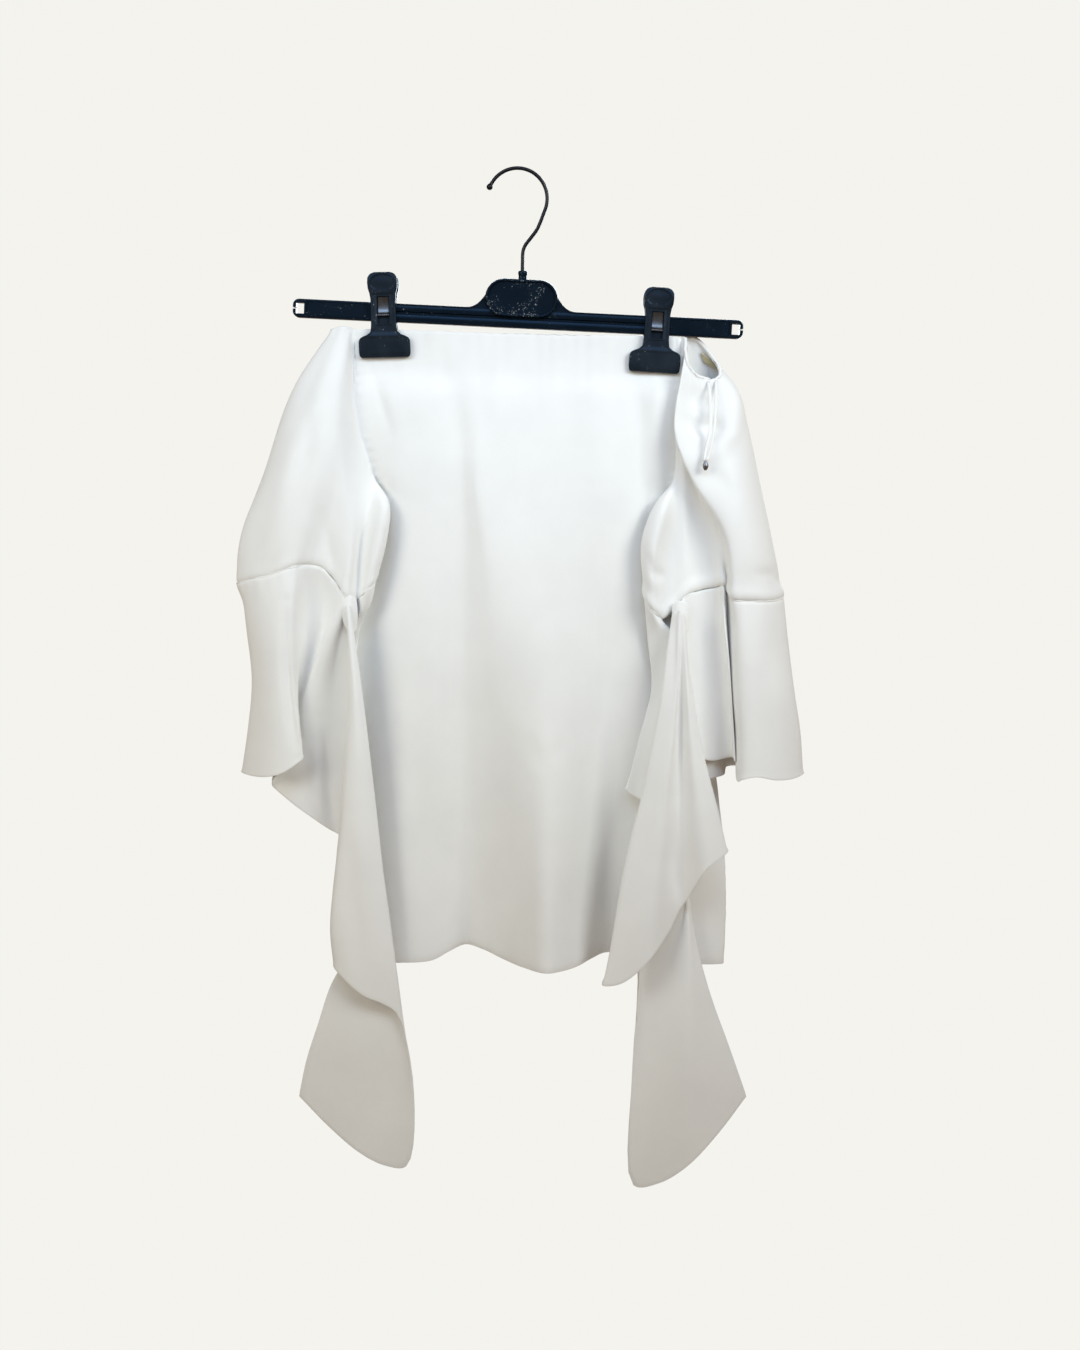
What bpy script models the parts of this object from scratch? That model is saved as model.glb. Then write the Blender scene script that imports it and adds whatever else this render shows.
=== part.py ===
# Off-shoulder top with cascading sleeve flounces, hung by its neckline on a two-clip hanger.
#
# Tables are in millimetres: right of the hook, down from the hook's rest point, and out from the
# hanger's middle plane towards the front. place() turns them into metres with X right, Y back, Z up.
# The cloth is drawn as fold lines: each row of a table follows one ridge or valley downwards, and a
# smooth surface runs through neighbouring rows. Sewn pieces share their seam points.
import math

import bmesh
import bpy
import numpy as np
from mathutils import Vector

WALL = 1.5  # cloth thickness
SEAM_GAP = 0.3  # between two pieces that are sewn together
UNDERARM_GAP = 1.2  # how much wider each seam is where three pieces meet
UNDERARM_REACH = 30.0  # above the underarm, over which that widening fades
UNDERARM_PART = 2.4  # and how much further the sleeve stays from the other two
UNDERARM_TURN = 70.0  # degrees, how far the front's edge turns out towards the underarm
UNDERARM_RISE = 1.6  # how steeply the sleeve starts upwards at the underarm
FOLD_PART = 2.0  # how much wider the elbow seam is where it turns right back on itself
SEAM_STEP = 1.6  # both pieces run on in one direction this far from a seam
CLEAR = 0.3  # between hard pieces that touch

# Hook: a wire arc with a ball tip and a bent neck, then a straight shank into the socket.
HOOK_WIRE = 3.2
HOOK_CENTRE = (-2.2, 24.4)
HOOK_RADIUS = 26.0
HOOK_ARC = (152, -25)  # degrees, from the tip to the start of the neck
HOOK_NECK = ((15.5, 46.5), (6.5, 57.5), (3.4, 66.0), (3.0, 76.0), (2.0, 96.5))
HOOK_TIP = 5.6
SHANK_PLACE = 2.2  # right of the middle of the bar
SOCKET_SIZE = (8.1, 7.0, 8.6)

# Bar of the hanger, in its own frame with its centre at BAR_CENTRE and its right end lower.
BAR_CENTRE = (-1.7, 127.9)
BAR_TILT = 2.76
BAR_LENGTH = 396.0
BAR_HEIGHT = 16.0
BAR_DEPTH = 9.0
GROOVE_HEIGHT = 8.0
GROOVE_DEPTH = 1.8
GROOVE_SPAN = (34.0, 176.0)  # from the middle, on both sides
LOOP_HOLE = (7.0, 9.6)
LOOP_SLIT = 1.6
BOSS_CENTRE = (2.2, -17.5)
BOSS_SIZE = (64.0, 33.0, 13.0)
BOSS_RIM = 2.0
FLARE = 15.0

# Clips: the place of each middle, its tilt, and one row for each level of a jaw's plate.
CLIPS = (
    ("left", -120.6, 88.3, -1.4),
    ("right", 122.4, 101.4, 3.6),
)
CLIP_ROWS = (  # level, down, half width, inner face, outer face
    ("thumb top", 0.0, 8.5, 7.4, 9.2),
    ("thumb corner", 1.6, 11.6, 7.0, 10.0),
    ("thumb", 8.0, 12.9, 6.2, 10.4),
    ("thumb foot", 17.0, 12.6, 5.0, 9.2),
    ("stem top", 20.0, 11.4, 4.9, 8.6),
    ("stem", 40.0, 11.0, 4.9, 8.2),
    ("jaw shoulder", 52.0, 13.5, 4.9, 8.2),
    ("jaw top", 55.0, 19.5, 4.2, 8.2),
    ("jaw", 58.5, 21.2, 3.4, 8.0),
    ("jaw corner", 71.0, 21.2, 3.4, 7.4),
    ("jaw foot", 73.5, 19.0, 3.4, 6.4),
)
WINDOW = (10.4, 21.0, 23.5)  # width, top and height of the opening that shows the spring
SPRING_WIDTH = 9.8
SPRING_WALL = 0.7

# Bodice: every row runs neck, grip, then LEVELS, then hem.
GRIP_DROP = 35.0
LEVELS = (194, 229, 260, 286, 339, 428, 519, 610, 666)
LEVEL_STEPS = (2, 2, 2, 3, 5, 1, 2, 2, 2, 2, 1)  # rows of faces between two levels
ARMHOLE_SPANS = 5  # of those, from the neck to the underarm
SIDE_LEFT = {
    "neck": (-147, 138, 0),
    "x": (-145, -141, -131, -125, -136, -148, -155, -159, -160),
    "out": (0, 0, 0, 0, -5, -8, -8, -6, -4),
    "armhole": (1.8, 2.0, 6, 8, 6),
    "hem": (-159, 706, -3),
}
SIDE_RIGHT = {
    "neck": (145, 145, 0),
    "x": (143, 139, 138, 133, 135, 158, 175, 186, 187),
    "out": (0, 0, 0, 0, -6, -10, -10, -6, 0),
    "armhole": (1.8, 2.0, 5, 6, 5),
    "hem": (185, 707, 2),
}
FRONT_FOLDS = (  # fold, neck, out at the grip, right at LEVELS, out at LEVELS, hem
    ("clip_left", (-121, 138, 2.0), 2.0, (-119, -115, -111, -106, -108, -111, -110, -109, -107),
     (12, 15, 16, 16, 16, 18, 20, 22, 24), (-107, 700, 26)),
    ("soft_left", (-84, 139, 2.0), 2.4, (-83, -81, -80, -81, -81, -81, -84, -84, -82),
     (13, 18, 20, 21, 23, 24, 20, 16, 15), (-80, 701, 14)),
    ("valley_left", (-57, 140, 3.0), 7, (-54, -52, -51, -50, -50, -52, -52, -52, -51),
     (13, 18, 21, 22, 22, 18, 10, 0, -7), (-51, 693, -11)),
    ("ridge_slant", (-31, 141, 3.0), 8, (-32, -35, -36, -35, -27, -21, -16, -14, -15),
     (16, 23, 27, 29, 31, 29, 24, 18, 15), (-16, 700, 14)),
    ("ridge_middle", (4, 142, 3.0), 7, (2, 3, 4, 6, 10, 18, 21, 22, 22),
     (13, 19, 22, 24, 29, 35, 40, 44, 46), (22, 704, 47)),
    ("soft_right", (35, 143, 3.0), 7, (35, 36, 38, 39, 43, 47, 49, 51, 51),
     (13, 18, 22, 24, 27, 29, 29, 28, 28), (51, 703, 28)),
    ("valley_right", (66, 143, 3.0), 6, (67, 70, 72, 74, 75, 78, 78, 79, 79),
     (13, 19, 22, 23, 22, 16, 10, 4, -1), (78, 699, -5)),
    ("band_right", (97, 143, 2.0), 2.0, (102, 103, 104, 105, 107, 109, 111, 114, 115),
     (8, 12, 13, 14, 14, 14, 14, 13, 12), (115, 700, 12)),
    ("clip_right", (123, 144, 2.0), 2.0, (121, 119, 116, 113, 114, 126, 138, 143, 146),
     (10, 12, 11, 9, 8, 8, 9, 11, 13), (148, 704, 14)),
)
BACK_FOLDS = (
    ("back_clip_right", (123, 144, -2.0), -2.0, (122, 121, 121, 121, 124, 138, 146, 150, 151),
     (-12, -18, -22, -24, -27, -31, -34, -36, -38), (152, 702, -38)),
    ("back_valley_right", (80, 143, -2.2), -2.8, (80, 82, 84, 85, 88, 94, 98, 100, 100),
     (-12, -18, -21, -22, -24, -25, -24, -22, -21), (100, 700, -21)),
    ("back_ridge_right", (35, 142, -3.0), -7, (34, 34, 35, 36, 38, 42, 46, 48, 48),
     (-14, -20, -23, -25, -29, -35, -41, -45, -47), (48, 702, -48)),
    ("back_valley_middle", (-10, 141, -3.0), -7, (-10, -10, -9, -8, -6, -4, -2, -2, -2),
     (-13, -18, -21, -22, -24, -24, -22, -21, -20), (-2, 700, -20)),
    ("back_ridge_left", (-50, 140, -3.0), -7, (-50, -50, -50, -50, -50, -51, -52, -53, -53),
     (-13, -19, -22, -24, -28, -35, -40, -44, -46), (-53, 700, -47)),
    ("back_valley_left", (-88, 139, -2.2), -3.2, (-88, -88, -89, -90, -92, -96, -98, -100, -100),
     (-11, -16, -19, -20, -23, -25, -25, -24, -23), (-100, 698, -23)),
    ("back_clip_left", (-121, 138, -2.0), -2.0, (-120, -118, -116, -115, -120, -130, -136, -139, -140),
     (-11, -17, -20, -22, -26, -31, -34, -36, -37), (-140, 697, -37)),
)

# Sleeves: a row follows one fold from the armhole or the neck edge to the elbow seam, then on down
# the flounce to its raw edge. The first row of each side is the point where the cascade hangs.
SLEEVE_LEFT = (
    ("apex", ((-137, 247, 23), (-140, 286, 30), (-145, 330, 33), (-151, 373, 35)),
     ((-154, 384, 35), (-165, 400, 34), (-178, 428, 31), (-188, 454, 26), (-207, 510, 18), (-216, 547, 16))),
    ("front_3", ((-141, 221, 22), (-150, 278, 33), (-156, 325, 31), (-163, 357, 27)),
     ((-171, 383, 21), (-182, 424, 17), (-197, 463, 17), (-212, 500, 21), (-222, 537, 23))),
    ("front_2", ((-143, 195, 17), (-154, 252, 33), (-165, 304, 30), (-174, 346, 25)),
     ((-181, 375, 18), (-190, 419, 17), (-202, 463, 20), (-210, 500, 25), (-214, 528, 28))),
    ("front_1", ((-146, 164, 8), (-158, 226, 32), (-171, 286, 33), (-186, 343, 27)),
     ((-190, 374, 22), (-195, 419, 25), (-197, 463, 29), (-197, 514, 32))),
    ("neck_front", ((-147, 138, 2), (-163, 200, 27), (-180, 269, 36), (-197, 344, 34)),
     ((-198, 374, 37), (-199, 410, 38), (-198, 446, 38), (-191, 512, 36))),
    ("head_front", ((-154, 136, 4), (-176, 200, 26), (-202, 278, 34), (-219, 352, 30)),
     ((-217, 382, 34), (-215, 426, 36), (-214, 470, 36), (-212, 527, 36))),
    ("outer_front", ((-160, 136, 3), (-188, 199, 18), (-217, 278, 24), (-237, 356, 20)),
     ((-235, 392, 22), (-231, 436, 24), (-232, 481, 24), (-236, 531, 24))),
    ("outer", ((-166, 138, 0), (-201, 189, 2), (-228, 265, 2), (-251, 322, 2), (-254, 361, 0)),
     ((-249, 373, 2), (-245, 404, 3), (-241, 447, 4), (-245, 487, 4), (-252, 530, 4))),
    ("outer_back", ((-160, 136, -3), (-197, 198, -14), (-228, 277, -20), (-238, 361, -18)),
     ((-235, 413, -18), (-233, 468, -20), (-238, 535, -22))),
    ("back_neck", ((-147, 138, -2), (-175, 206, -20), (-197, 286, -27), (-210, 363, -24)),
     ((-207, 414, -26), (-205, 469, -30), (-210, 535, -34))),
    ("back_arm_1", ((-147, 176, -8), (-165, 242, -24), (-180, 304, -27), (-188, 366, -23)),
     ((-186, 413, -24), (-186, 468, -22), (-188, 537, -20))),
    ("back_arm_2", ((-146, 211, -11), (-156, 268, -21), (-163, 313, -21), (-172, 367, -18)),
     ((-172, 413, -21), (-173, 468, -26), (-176, 544, -30))),
    ("back_arm_3", ((-141, 242, -11), (-147, 286, -14), (-154, 327, -13), (-160, 365, -10)),
     ((-162, 413, -10), (-166, 468, -10), (-170, 546, -10))),
    ("under", ((-125, 286, 0), (-133, 305, 3), (-141, 335, 7), (-148, 363, 10)),
     ((-152, 390, 9), (-155, 412, 8), (-160, 467, 6), (-164, 549, 6))),
    ("lobe_edge", ((-127, 273, 5), (-114, 289, 23), (-117, 326, 27), (-126, 357, 26)),
     ((-129, 373, 24), (-139, 390, 19), (-146, 420, 16), (-151, 484, 15), (-153, 548, 14))),
    ("lobe_crest", ((-129, 266, 8), (-118, 293, 33), (-126, 332, 36), (-135, 366, 33)),
     ((-137, 378, 30), (-148, 397, 22), (-156, 429, 16), (-163, 483, 12), (-166, 547, 11))),
    ("valley", ((-132, 260, 9), (-131, 289, 22), (-141, 326, 21), (-144, 374, 23)),
     ((-145, 386, 21), (-155, 402, 17), (-163, 429, 13), (-173, 483, 9), (-179, 546, 8))),
)
SLEEVE_RIGHT = (
    ("apex", ((138, 244, 6), (140, 282, 20), (142, 326, 26), (140, 374, 30)),
     ((143, 396, 27), (147, 427, 25), (152, 463, 24), (158, 518, 24))),
    ("recess_1", ((139, 230, 6), (143, 262, 19), (151, 317, 19), (158, 366, 20)),
     ((161, 396, 19), (165, 437, 18), (171, 518, 18))),
    ("recess_2", ((140, 212, 6), (145, 245, 16), (159, 297, 18), (173, 363, 20)),
     ((176, 392, 20), (180, 428, 20), (188, 514, 20))),
    ("recess_3", ((142, 192, 5), (143, 226, 15), (160, 282, 20), (176, 321, 23), (181, 361, 25)),
     ((184, 391, 25), (187, 427, 26), (192, 516, 28))),
    ("neck_front", ((145, 145, 2), (147, 160, 7), (144, 182, 14), (137, 222, 24), (151, 271, 31),
                    (175, 316, 35), (181, 364, 34)),
     ((184, 391, 33), (186, 427, 34), (188, 470, 34), (191, 520, 33))),
    ("fold_edge", ((145, 162, 12), (140, 183, 20), (134, 229, 29), (153, 273, 36), (178, 316, 40), (183, 367, 39)),
     ((183, 405, 38), (185, 446, 38), (189, 481, 38), (191, 522, 37))),
    ("front_a", ((150, 174, 12), (156, 203, 13), (162, 243, 28), (180, 304, 42), (193, 374, 38)),
     ((196, 417, 42), (199, 460, 43), (200, 528, 43))),
    ("front_b", ((165, 181, 8), (169, 212, 18), (180, 260, 36), (195, 312, 40), (209, 375, 34)),
     ((212, 417, 37), (218, 461, 38), (222, 532, 38))),
    ("outer_front", ((175, 179, 4), (186, 217, 18), (198, 265, 24), (213, 321, 26), (226, 375, 20)),
     ((229, 418, 22), (236, 463, 24), (243, 533, 24))),
    ("outer", ((177, 172, 0), (192, 191, 1), (203, 227, 2), (213, 273, 2), (222, 311, 2), (236, 373, 0)),
     ((240, 408, 2), (247, 459, 3), (253, 493, 3), (256, 531, 3))),
    ("outer_back", ((171, 163, -4), (185, 176, -9), (198, 215, -16), (212, 273, -22), (231, 377, -18)),
     ((236, 422, -19), (241, 468, -22), (247, 533, -24))),
    ("back_rim", ((159, 146.5, -4.6), (173, 180, -15), (191, 241, -26), (214, 378, -26)),
     ((217, 423, -28), (220, 469, -30), (223, 530, -34))),
    ("back_neck", ((145, 145, -2), (158, 197, -18), (177, 268, -28), (196, 377, -27)),
     ((200, 423, -26), (203, 469, -24), (206, 528, -22))),
    ("back_arm_2", ((142, 191, -8), (153, 233, -19), (167, 295, -25), (179, 379, -21)),
     ((183, 423, -22), (187, 469, -24), (190, 530, -27))),
    ("back_arm_3", ((139, 233, -11), (147, 277, -15), (155, 322, -13), (163, 380, -3)),
     ((171, 422, 4), (177, 468, 6), (182, 533, 6))),
    ("under", ((133, 286, 0), (138, 303, 5), (142, 335, 11), (147, 374, 14)),
     ((151, 412, 15), (155, 467, 15), (160, 536, 14))),
    ("lobe_edge", ((135, 275, 3), (119, 289, 20), (106, 321, 27), (109, 370, 26)),
     ((111, 397, 23), (114, 424, 21), (117, 451, 20), (106, 497, 19), (94, 543, 19))),
    ("lobe_crest", ((136, 266, 4), (126, 289, 32), (116, 330, 40), (117, 384, 34)),
     ((124, 409, 28), (123, 446, 24), (111, 496, 23), (102, 549, 23))),
    ("wedge", ((137, 256, 5), (134, 289, 24), (130, 334, 22), (131, 392, 22)),
     ((133, 419, 23), (130, 455, 25), (120, 504, 26), (111, 553, 26))),
)
# Cascades: what hangs in zigzag folds below the apex, from the ring of the flounce to its free end.
CASCADE_LEFT = (
    ("triangle_middle", ((-153, 381, 30), (-169, 445, 21), (-191, 567, 17))),
    ("triangle_inner", ((-152, 384, 28), (-157, 464, 19), (-164, 585, 16))),
    ("inner_return", ((-150, 396, 26), (-147, 481, 21), (-145, 591, 19))),
    ("inner_turn", ((-148, 409, 29), (-142, 499, 25), (-135, 626, 24))),
    ("tail_roll", ((-149, 414, 32), (-147, 453, 32), (-149, 492, 32), (-156, 581, 33), (-163, 641, 33),
                   (-165, 679, 33), (-162, 696, 33))),
    ("tail_left", ((-150, 417, 36), (-150, 453, 40), (-152, 492, 43), (-160, 581, 44), (-167, 641, 44),
                   (-169, 679, 44), (-166, 699, 44))),
    ("tail_middle", ((-149, 393, 40), (-144, 461, 47), (-142, 549, 50), (-142, 639, 50), (-139, 724, 50))),
    ("tail_right", ((-148, 390, 38), (-143, 428, 42), (-138, 473, 45), (-127, 577, 46), (-120, 636, 46),
                    (-113, 715, 46), (-110, 742, 45))),
    ("second_right", ((-142, 462, 39), (-135, 552, 39), (-130, 642, 39), (-127, 739, 38), (-115, 819, 36),
                      (-104, 887, 35))),
    ("second_middle", ((-144, 470, 38.5), (-144, 552, 39), (-145, 643, 40), (-151, 734, 38), (-150, 808, 38),
                       (-145, 873, 39))),
    ("second_left", ((-145, 480, 37.5), (-148, 552, 38), (-153, 643, 38), (-157, 695, 38), (-171, 722, 36),
                     (-186, 769, 34), (-198, 806, 33), (-200, 822, 33))),
)
CASCADE_RIGHT = (
    ("inner_hidden", ((144, 386, 34), (150, 462, 32), (159, 542, 32), (167, 583, 32))),
    ("front_right", ((144, 385, 39), (146, 414, 39), (151, 451, 39), (163, 514, 39), (172, 546, 39),
                     (180, 578, 39), (184, 595, 39))),
    ("front_fold", ((142.5, 383, 42.5), (147, 460, 46), (155, 539, 48), (165, 609, 48))),
    ("front_valley", ((140.5, 382.5, 43.5), (141, 461, 41), (142, 550, 38), (142, 605, 36), (146, 646, 35))),
    ("front_crest", ((138.5, 382.5, 43), (137, 460, 47), (131, 548, 49), (122, 620, 49), (117, 689, 48))),
    ("front_turn", ((136.5, 384, 40.5), (133, 460, 46), (121, 531, 48), (106, 611, 48), (91, 713, 47))),
    ("front_left", ((136, 386, 37), (134, 421, 42), (129, 463, 43), (121, 502, 43), (110, 549, 43),
                    (98, 592, 43), (89, 636, 43), (79, 686, 43), (73, 716, 43))),
    ("back_return", ((137, 462, 35), (124, 533, 35), (111, 596, 34), (107, 642, 34), (104, 687, 34))),
    ("tail_left", ((144, 552, 28), (147, 607, 26), (146, 657, 25), (135, 682, 25), (130, 717, 25),
                   (122, 776, 25), (108, 872, 25), (103, 909, 25))),
    ("tail_middle", ((147, 544, 25), (148, 607, 25), (150, 662, 27), (150, 734, 31), (149, 807, 34),
                     (151, 887, 35))),
    ("tail_right", ((149, 535, 21), (150, 608, 21), (152, 644, 22), (159, 686, 23), (172, 733, 23),
                    (189, 780, 23), (205, 826, 23))),
)
RIM_COLUMNS = 10  # along the open neck edge of a sleeve
SLEEVE_ROWS = 9
FLOUNCE_ROWS = 10
CASCADE_STEPS = 2
FRONT_STEPS = 2
BACK_STEPS = 2

# Grip tape inside the right sleeve's neck edge, and the two ribbons that end in a bead.
TAPE_FOLDS = ("outer_back", "back_neck")  # it runs round the back of the opening, between these
TAPE_ENDS = (0.45, 1.15)  # where it starts and stops, counted in folds from the first of them
TAPE_DROP = 11.0  # below the neck edge
TAPE_GAP = 0.8
TAPE_WIDTH = 9.0
TAPE_WALL = 1.0
RIBBON = 2.2
RIBBONS = (
    ("ribbon_left", ((165.5, 183, 11), (166, 200, 21), (165, 225, 31), (161, 243, 37), (159.4, 252.9, 40))),
    ("ribbon_right", ((172.5, 182, 8.5), (171, 200, 20), (169, 222, 31), (165, 243, 38), (161.6, 252.9, 41))),
)
BEAD = (160.5, 257, 41)
BEAD_SIZE = (5.2, 3.6, 7.6)

COLOURS = {  # colour, roughness, metallic
    "cloth": ((0.80, 0.79, 0.74), 0.85, 0.0),
    "black plastic": ((0.012, 0.014, 0.02), 0.38, 0.0),
    "gunmetal": ((0.10, 0.10, 0.11), 0.35, 1.0),
    "spring steel": ((0.45, 0.45, 0.47), 0.3, 1.0),
    "grip tape": ((0.42, 0.38, 0.28), 0.6, 0.0),
    "ribbon": ((0.85, 0.85, 0.83), 0.5, 0.0),
    "bead": ((0.25, 0.25, 0.26), 0.35, 1.0),
}


def clear_scene():
    for obj in list(bpy.data.objects):
        bpy.data.objects.remove(obj, do_unlink=True)


def make_collection(name):
    collection = bpy.data.collections.new(name)
    bpy.context.scene.collection.children.link(collection)
    return collection


def make_materials():
    made = {}
    for name, (colour, roughness, metallic) in COLOURS.items():
        material = bpy.data.materials.new(name)
        material.use_nodes = True
        shader = material.node_tree.nodes["Principled BSDF"]
        shader.inputs["Base Color"].default_value = (*colour, 1.0)
        shader.inputs["Roughness"].default_value = roughness
        shader.inputs["Metallic"].default_value = metallic
        made[name] = material
    return made


def place(right, down, out):
    """A point of the tables, in metres."""
    return Vector((right / 1000, -out / 1000, -down / 1000))


def hermite(p0, p1, p2, p3, f):
    """The point at share f between p1 and p2 of a curve that eases evenly through uneven spacing."""
    def span(a, b):
        return np.maximum(np.linalg.norm(b - a, axis=-1, keepdims=True), 1e-6) ** 0.5

    d0, d1, d2 = span(p0, p1), span(p1, p2), span(p2, p3)
    m1 = d1 * ((p1 - p0) / d0 - (p2 - p0) / (d0 + d1) + (p2 - p1) / d1)
    m2 = d1 * ((p2 - p1) / d1 - (p3 - p1) / (d1 + d2) + (p3 - p2) / d2)
    return (
        (2 * f**3 - 3 * f**2 + 1) * p1 + (f**3 - 2 * f**2 + f) * m1
        + (3 * f**2 - 2 * f**3) * p2 + (f**3 - f**2) * m2
    )


def curve_at(points, where, before=None, after=None, closed=False):
    """The curve through points at each place of where, which counts in points."""
    points = np.asarray(points, float)
    last = len(points)
    found = []
    for place_along in where:
        i = int(math.floor(place_along + 1e-9))
        if not closed:
            i = min(i, last - 2)
        f = place_along - i
        if closed:
            p0, p1, p2, p3 = (points[(i + k) % last] for k in (-1, 0, 1, 2))
        else:
            p1, p2 = points[i], points[i + 1]
            first = 2 * points[0] - points[1] if before is None else before
            final = 2 * points[-1] - points[-2] if after is None else after
            p0 = points[i - 1] if i > 0 else first
            p3 = points[i + 2] if i + 2 < last else final
        found.append(hermite(p0, p1, p2, p3, f))
    return np.array(found)


def along(points, rows):
    """rows + 1 points spaced evenly along the curve through points."""
    fine = curve_at(points, np.linspace(0, len(points) - 1, 12 * (len(points) - 1) + 1))
    run = np.concatenate([[0], np.cumsum(np.linalg.norm(np.diff(fine, axis=0), axis=1))])
    even = np.linspace(0, run[-1], rows + 1)
    return np.stack([np.interp(even, run, fine[:, k]) for k in range(3)], axis=1)


def unit(vectors):
    return vectors / np.maximum(np.linalg.norm(vectors, axis=-1, keepdims=True), 1e-9)


def row_places():
    """Where each row of faces of the bodice lies, counted in levels from the neck."""
    where = [0.0]
    for level, steps in enumerate(LEVEL_STEPS):
        where += [level + (step + 1) / steps for step in range(steps)]
    return where


def bodice_line(neck, grip_out, rights, outs, hem):
    """One fold of the bodice, with a point on every row of faces."""
    grip = (0.5 * (neck[0] + rights[0]), neck[1] + GRIP_DROP, grip_out)
    line = curve_at([neck, grip, *zip(rights, LEVELS, outs), hem], row_places())
    rows = LEVEL_STEPS[0] + 1
    facing = math.copysign(1.0, grip_out)
    line[:rows, 2] = facing * np.maximum(facing * line[:rows, 2], min(abs(neck[2]), abs(grip_out)))
    return line


def side_line(side, facing):
    """The edge of the front (facing 1) or back (facing -1) panel: armhole, then side seam."""
    line = bodice_line(side["neck"], 0.0, side["x"], side["out"], side["hem"])
    halves = np.array([[half] for half in side["armhole"]] + [[UNDERARM_GAP]])
    spread = np.zeros(len(line))
    spread[: armhole_rows() + 1] = curve_at(halves, row_places()[: armhole_rows() + 1])[:, 0]
    spread[armhole_rows() + 1] = UNDERARM_GAP / 2
    line[:, 2] += facing * (SEAM_GAP / 2 + spread)
    return line


def armhole_rows():
    return sum(LEVEL_STEPS[:ARMHOLE_SPANS])


def ghost(edge, inner, beyond):
    """What lies past a panel's edge: its own run above the underarm, the other panel below it."""
    past = beyond.copy()
    above = armhole_rows()
    past[:above] = (2 * edge - inner)[:above]
    return past


def bodice_grids():
    """The front, left to right, and the back, right to left, as columns of points."""
    fronts = [bodice_line(*row[1:]) for row in FRONT_FOLDS]
    backs = [bodice_line(*row[1:]) for row in BACK_FOLDS]
    front = [side_line(SIDE_LEFT, 1), *fronts, side_line(SIDE_RIGHT, 1)]
    back = [side_line(SIDE_RIGHT, -1), *backs, side_line(SIDE_LEFT, -1)]
    grids = []
    for lines, first_past, last_past, steps in (
        (front, backs[-1], backs[0], FRONT_STEPS),
        (back, fronts[-1], fronts[0], BACK_STEPS),
    ):
        where = np.linspace(0, len(lines) - 1, steps * (len(lines) - 1) + 1)
        before = ghost(lines[0], lines[1], first_past)
        after = ghost(lines[-1], lines[-2], last_past)
        grids.append(curve_at(lines, where, before, after))
    return with_seam_columns(*grids)


def with_seam_columns(front, back):
    """Adds a column close to each side edge: square to the armhole, and one run across the side seam."""
    above = armhole_rows()
    runs = []
    turns = np.radians(np.interp(row_places()[:above], (2, ARMHOLE_SPANS), (0, UNDERARM_TURN)))
    for panel, edge, inner, other, facing in (
        (front, 0, 1, back[-2], 1), (front, -1, -2, back[1], 1),
        (back, 0, 1, front[-2], -0.4), (back, -1, -2, front[1], -0.4),
    ):
        run = unit(other - panel[inner])
        for row, turn in enumerate(turns * facing):
            run[row] = (math.copysign(math.cos(turn), panel[edge][0][0]), 0.0, math.sin(turn))
        runs.append(run)
    made = []
    for panel, first, last in ((front, runs[0], runs[1]), (back, runs[2], runs[3])):
        near = panel[:1] - first * SEAM_STEP
        far = panel[-1:] - last * SEAM_STEP
        made.append(np.concatenate([panel[:1], near, panel[1:-1], far, panel[-1:]]))
    return made


def sleeve_grid(rows, front_edge, front_run, back_edge, back_run):
    """Columns round a sleeve from the armhole and neck edge to the elbow seam, and their places."""
    names = [row[0] for row in rows]
    neck_front = names.index("neck_front")
    neck_back = names.index("back_neck")
    under = names.index("under")
    starts = np.array([row[1][0] for row in rows], float)
    lines = np.array([along(row[1], SLEEVE_ROWS) for row in rows])
    above = armhole_rows()

    columns = []  # place round the sleeve, seam point, direction across the seam
    heights = -starts[[*range(under, len(rows)), *range(neck_front + 1)], 1]
    places = [*range(under, len(rows)), *range(len(rows), len(rows) + neck_front + 1)]
    for row in range(above):
        at = np.interp(-front_edge[row][1], heights, places) % len(rows)
        columns.append((at, front_edge[row], front_run[row]))
    for step in range(1, RIM_COLUMNS):
        at = neck_front + (neck_back - neck_front) * step / RIM_COLUMNS
        columns.append((at, None, None))
    heights = starts[neck_back:under + 1, 1]
    for row in range(above):
        at = np.interp(back_edge[row][1], heights, range(neck_back, under + 1))
        columns.append((at, back_edge[row], back_run[row]))
    middle = (front_edge[above] + back_edge[above]) / 2
    rise = unit(front_run[above - 1] + back_run[above - 1]) + np.array((0.0, -UNDERARM_RISE, 0.0))
    columns.append((under, middle, unit(rise)))
    columns.sort(key=lambda column: column[0])

    around = [column[0] for column in columns]
    grid = curve_at(lines, around, closed=True)
    fade = (1 - np.linspace(0, 1, SLEEVE_ROWS + 1)[:, None]) ** 2
    into = unit(grid[:, -1] - grid[:, -2])
    into = unit(sum(np.roll(into, shift, axis=0) * (3 - abs(shift)) for shift in (-2, -1, 0, 1, 2)))
    made = []
    for points, last, (_, seam, run) in zip(grid, into * SEAM_STEP, columns):
        if seam is not None:
            near = max(0.0, 1 - (starts[under][1] - seam[1]) / UNDERARM_REACH)
            points = points + (seam + run * (SEAM_GAP + UNDERARM_PART * near**2) - points[0]) * fade
        else:
            run = unit(points[1] - points[0])
        made.append(np.vstack([points[:1], points[:1] + run * SEAM_STEP, points[1:-1], points[-1:] - last, points[-1:]]))
    return np.array(made), around


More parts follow.
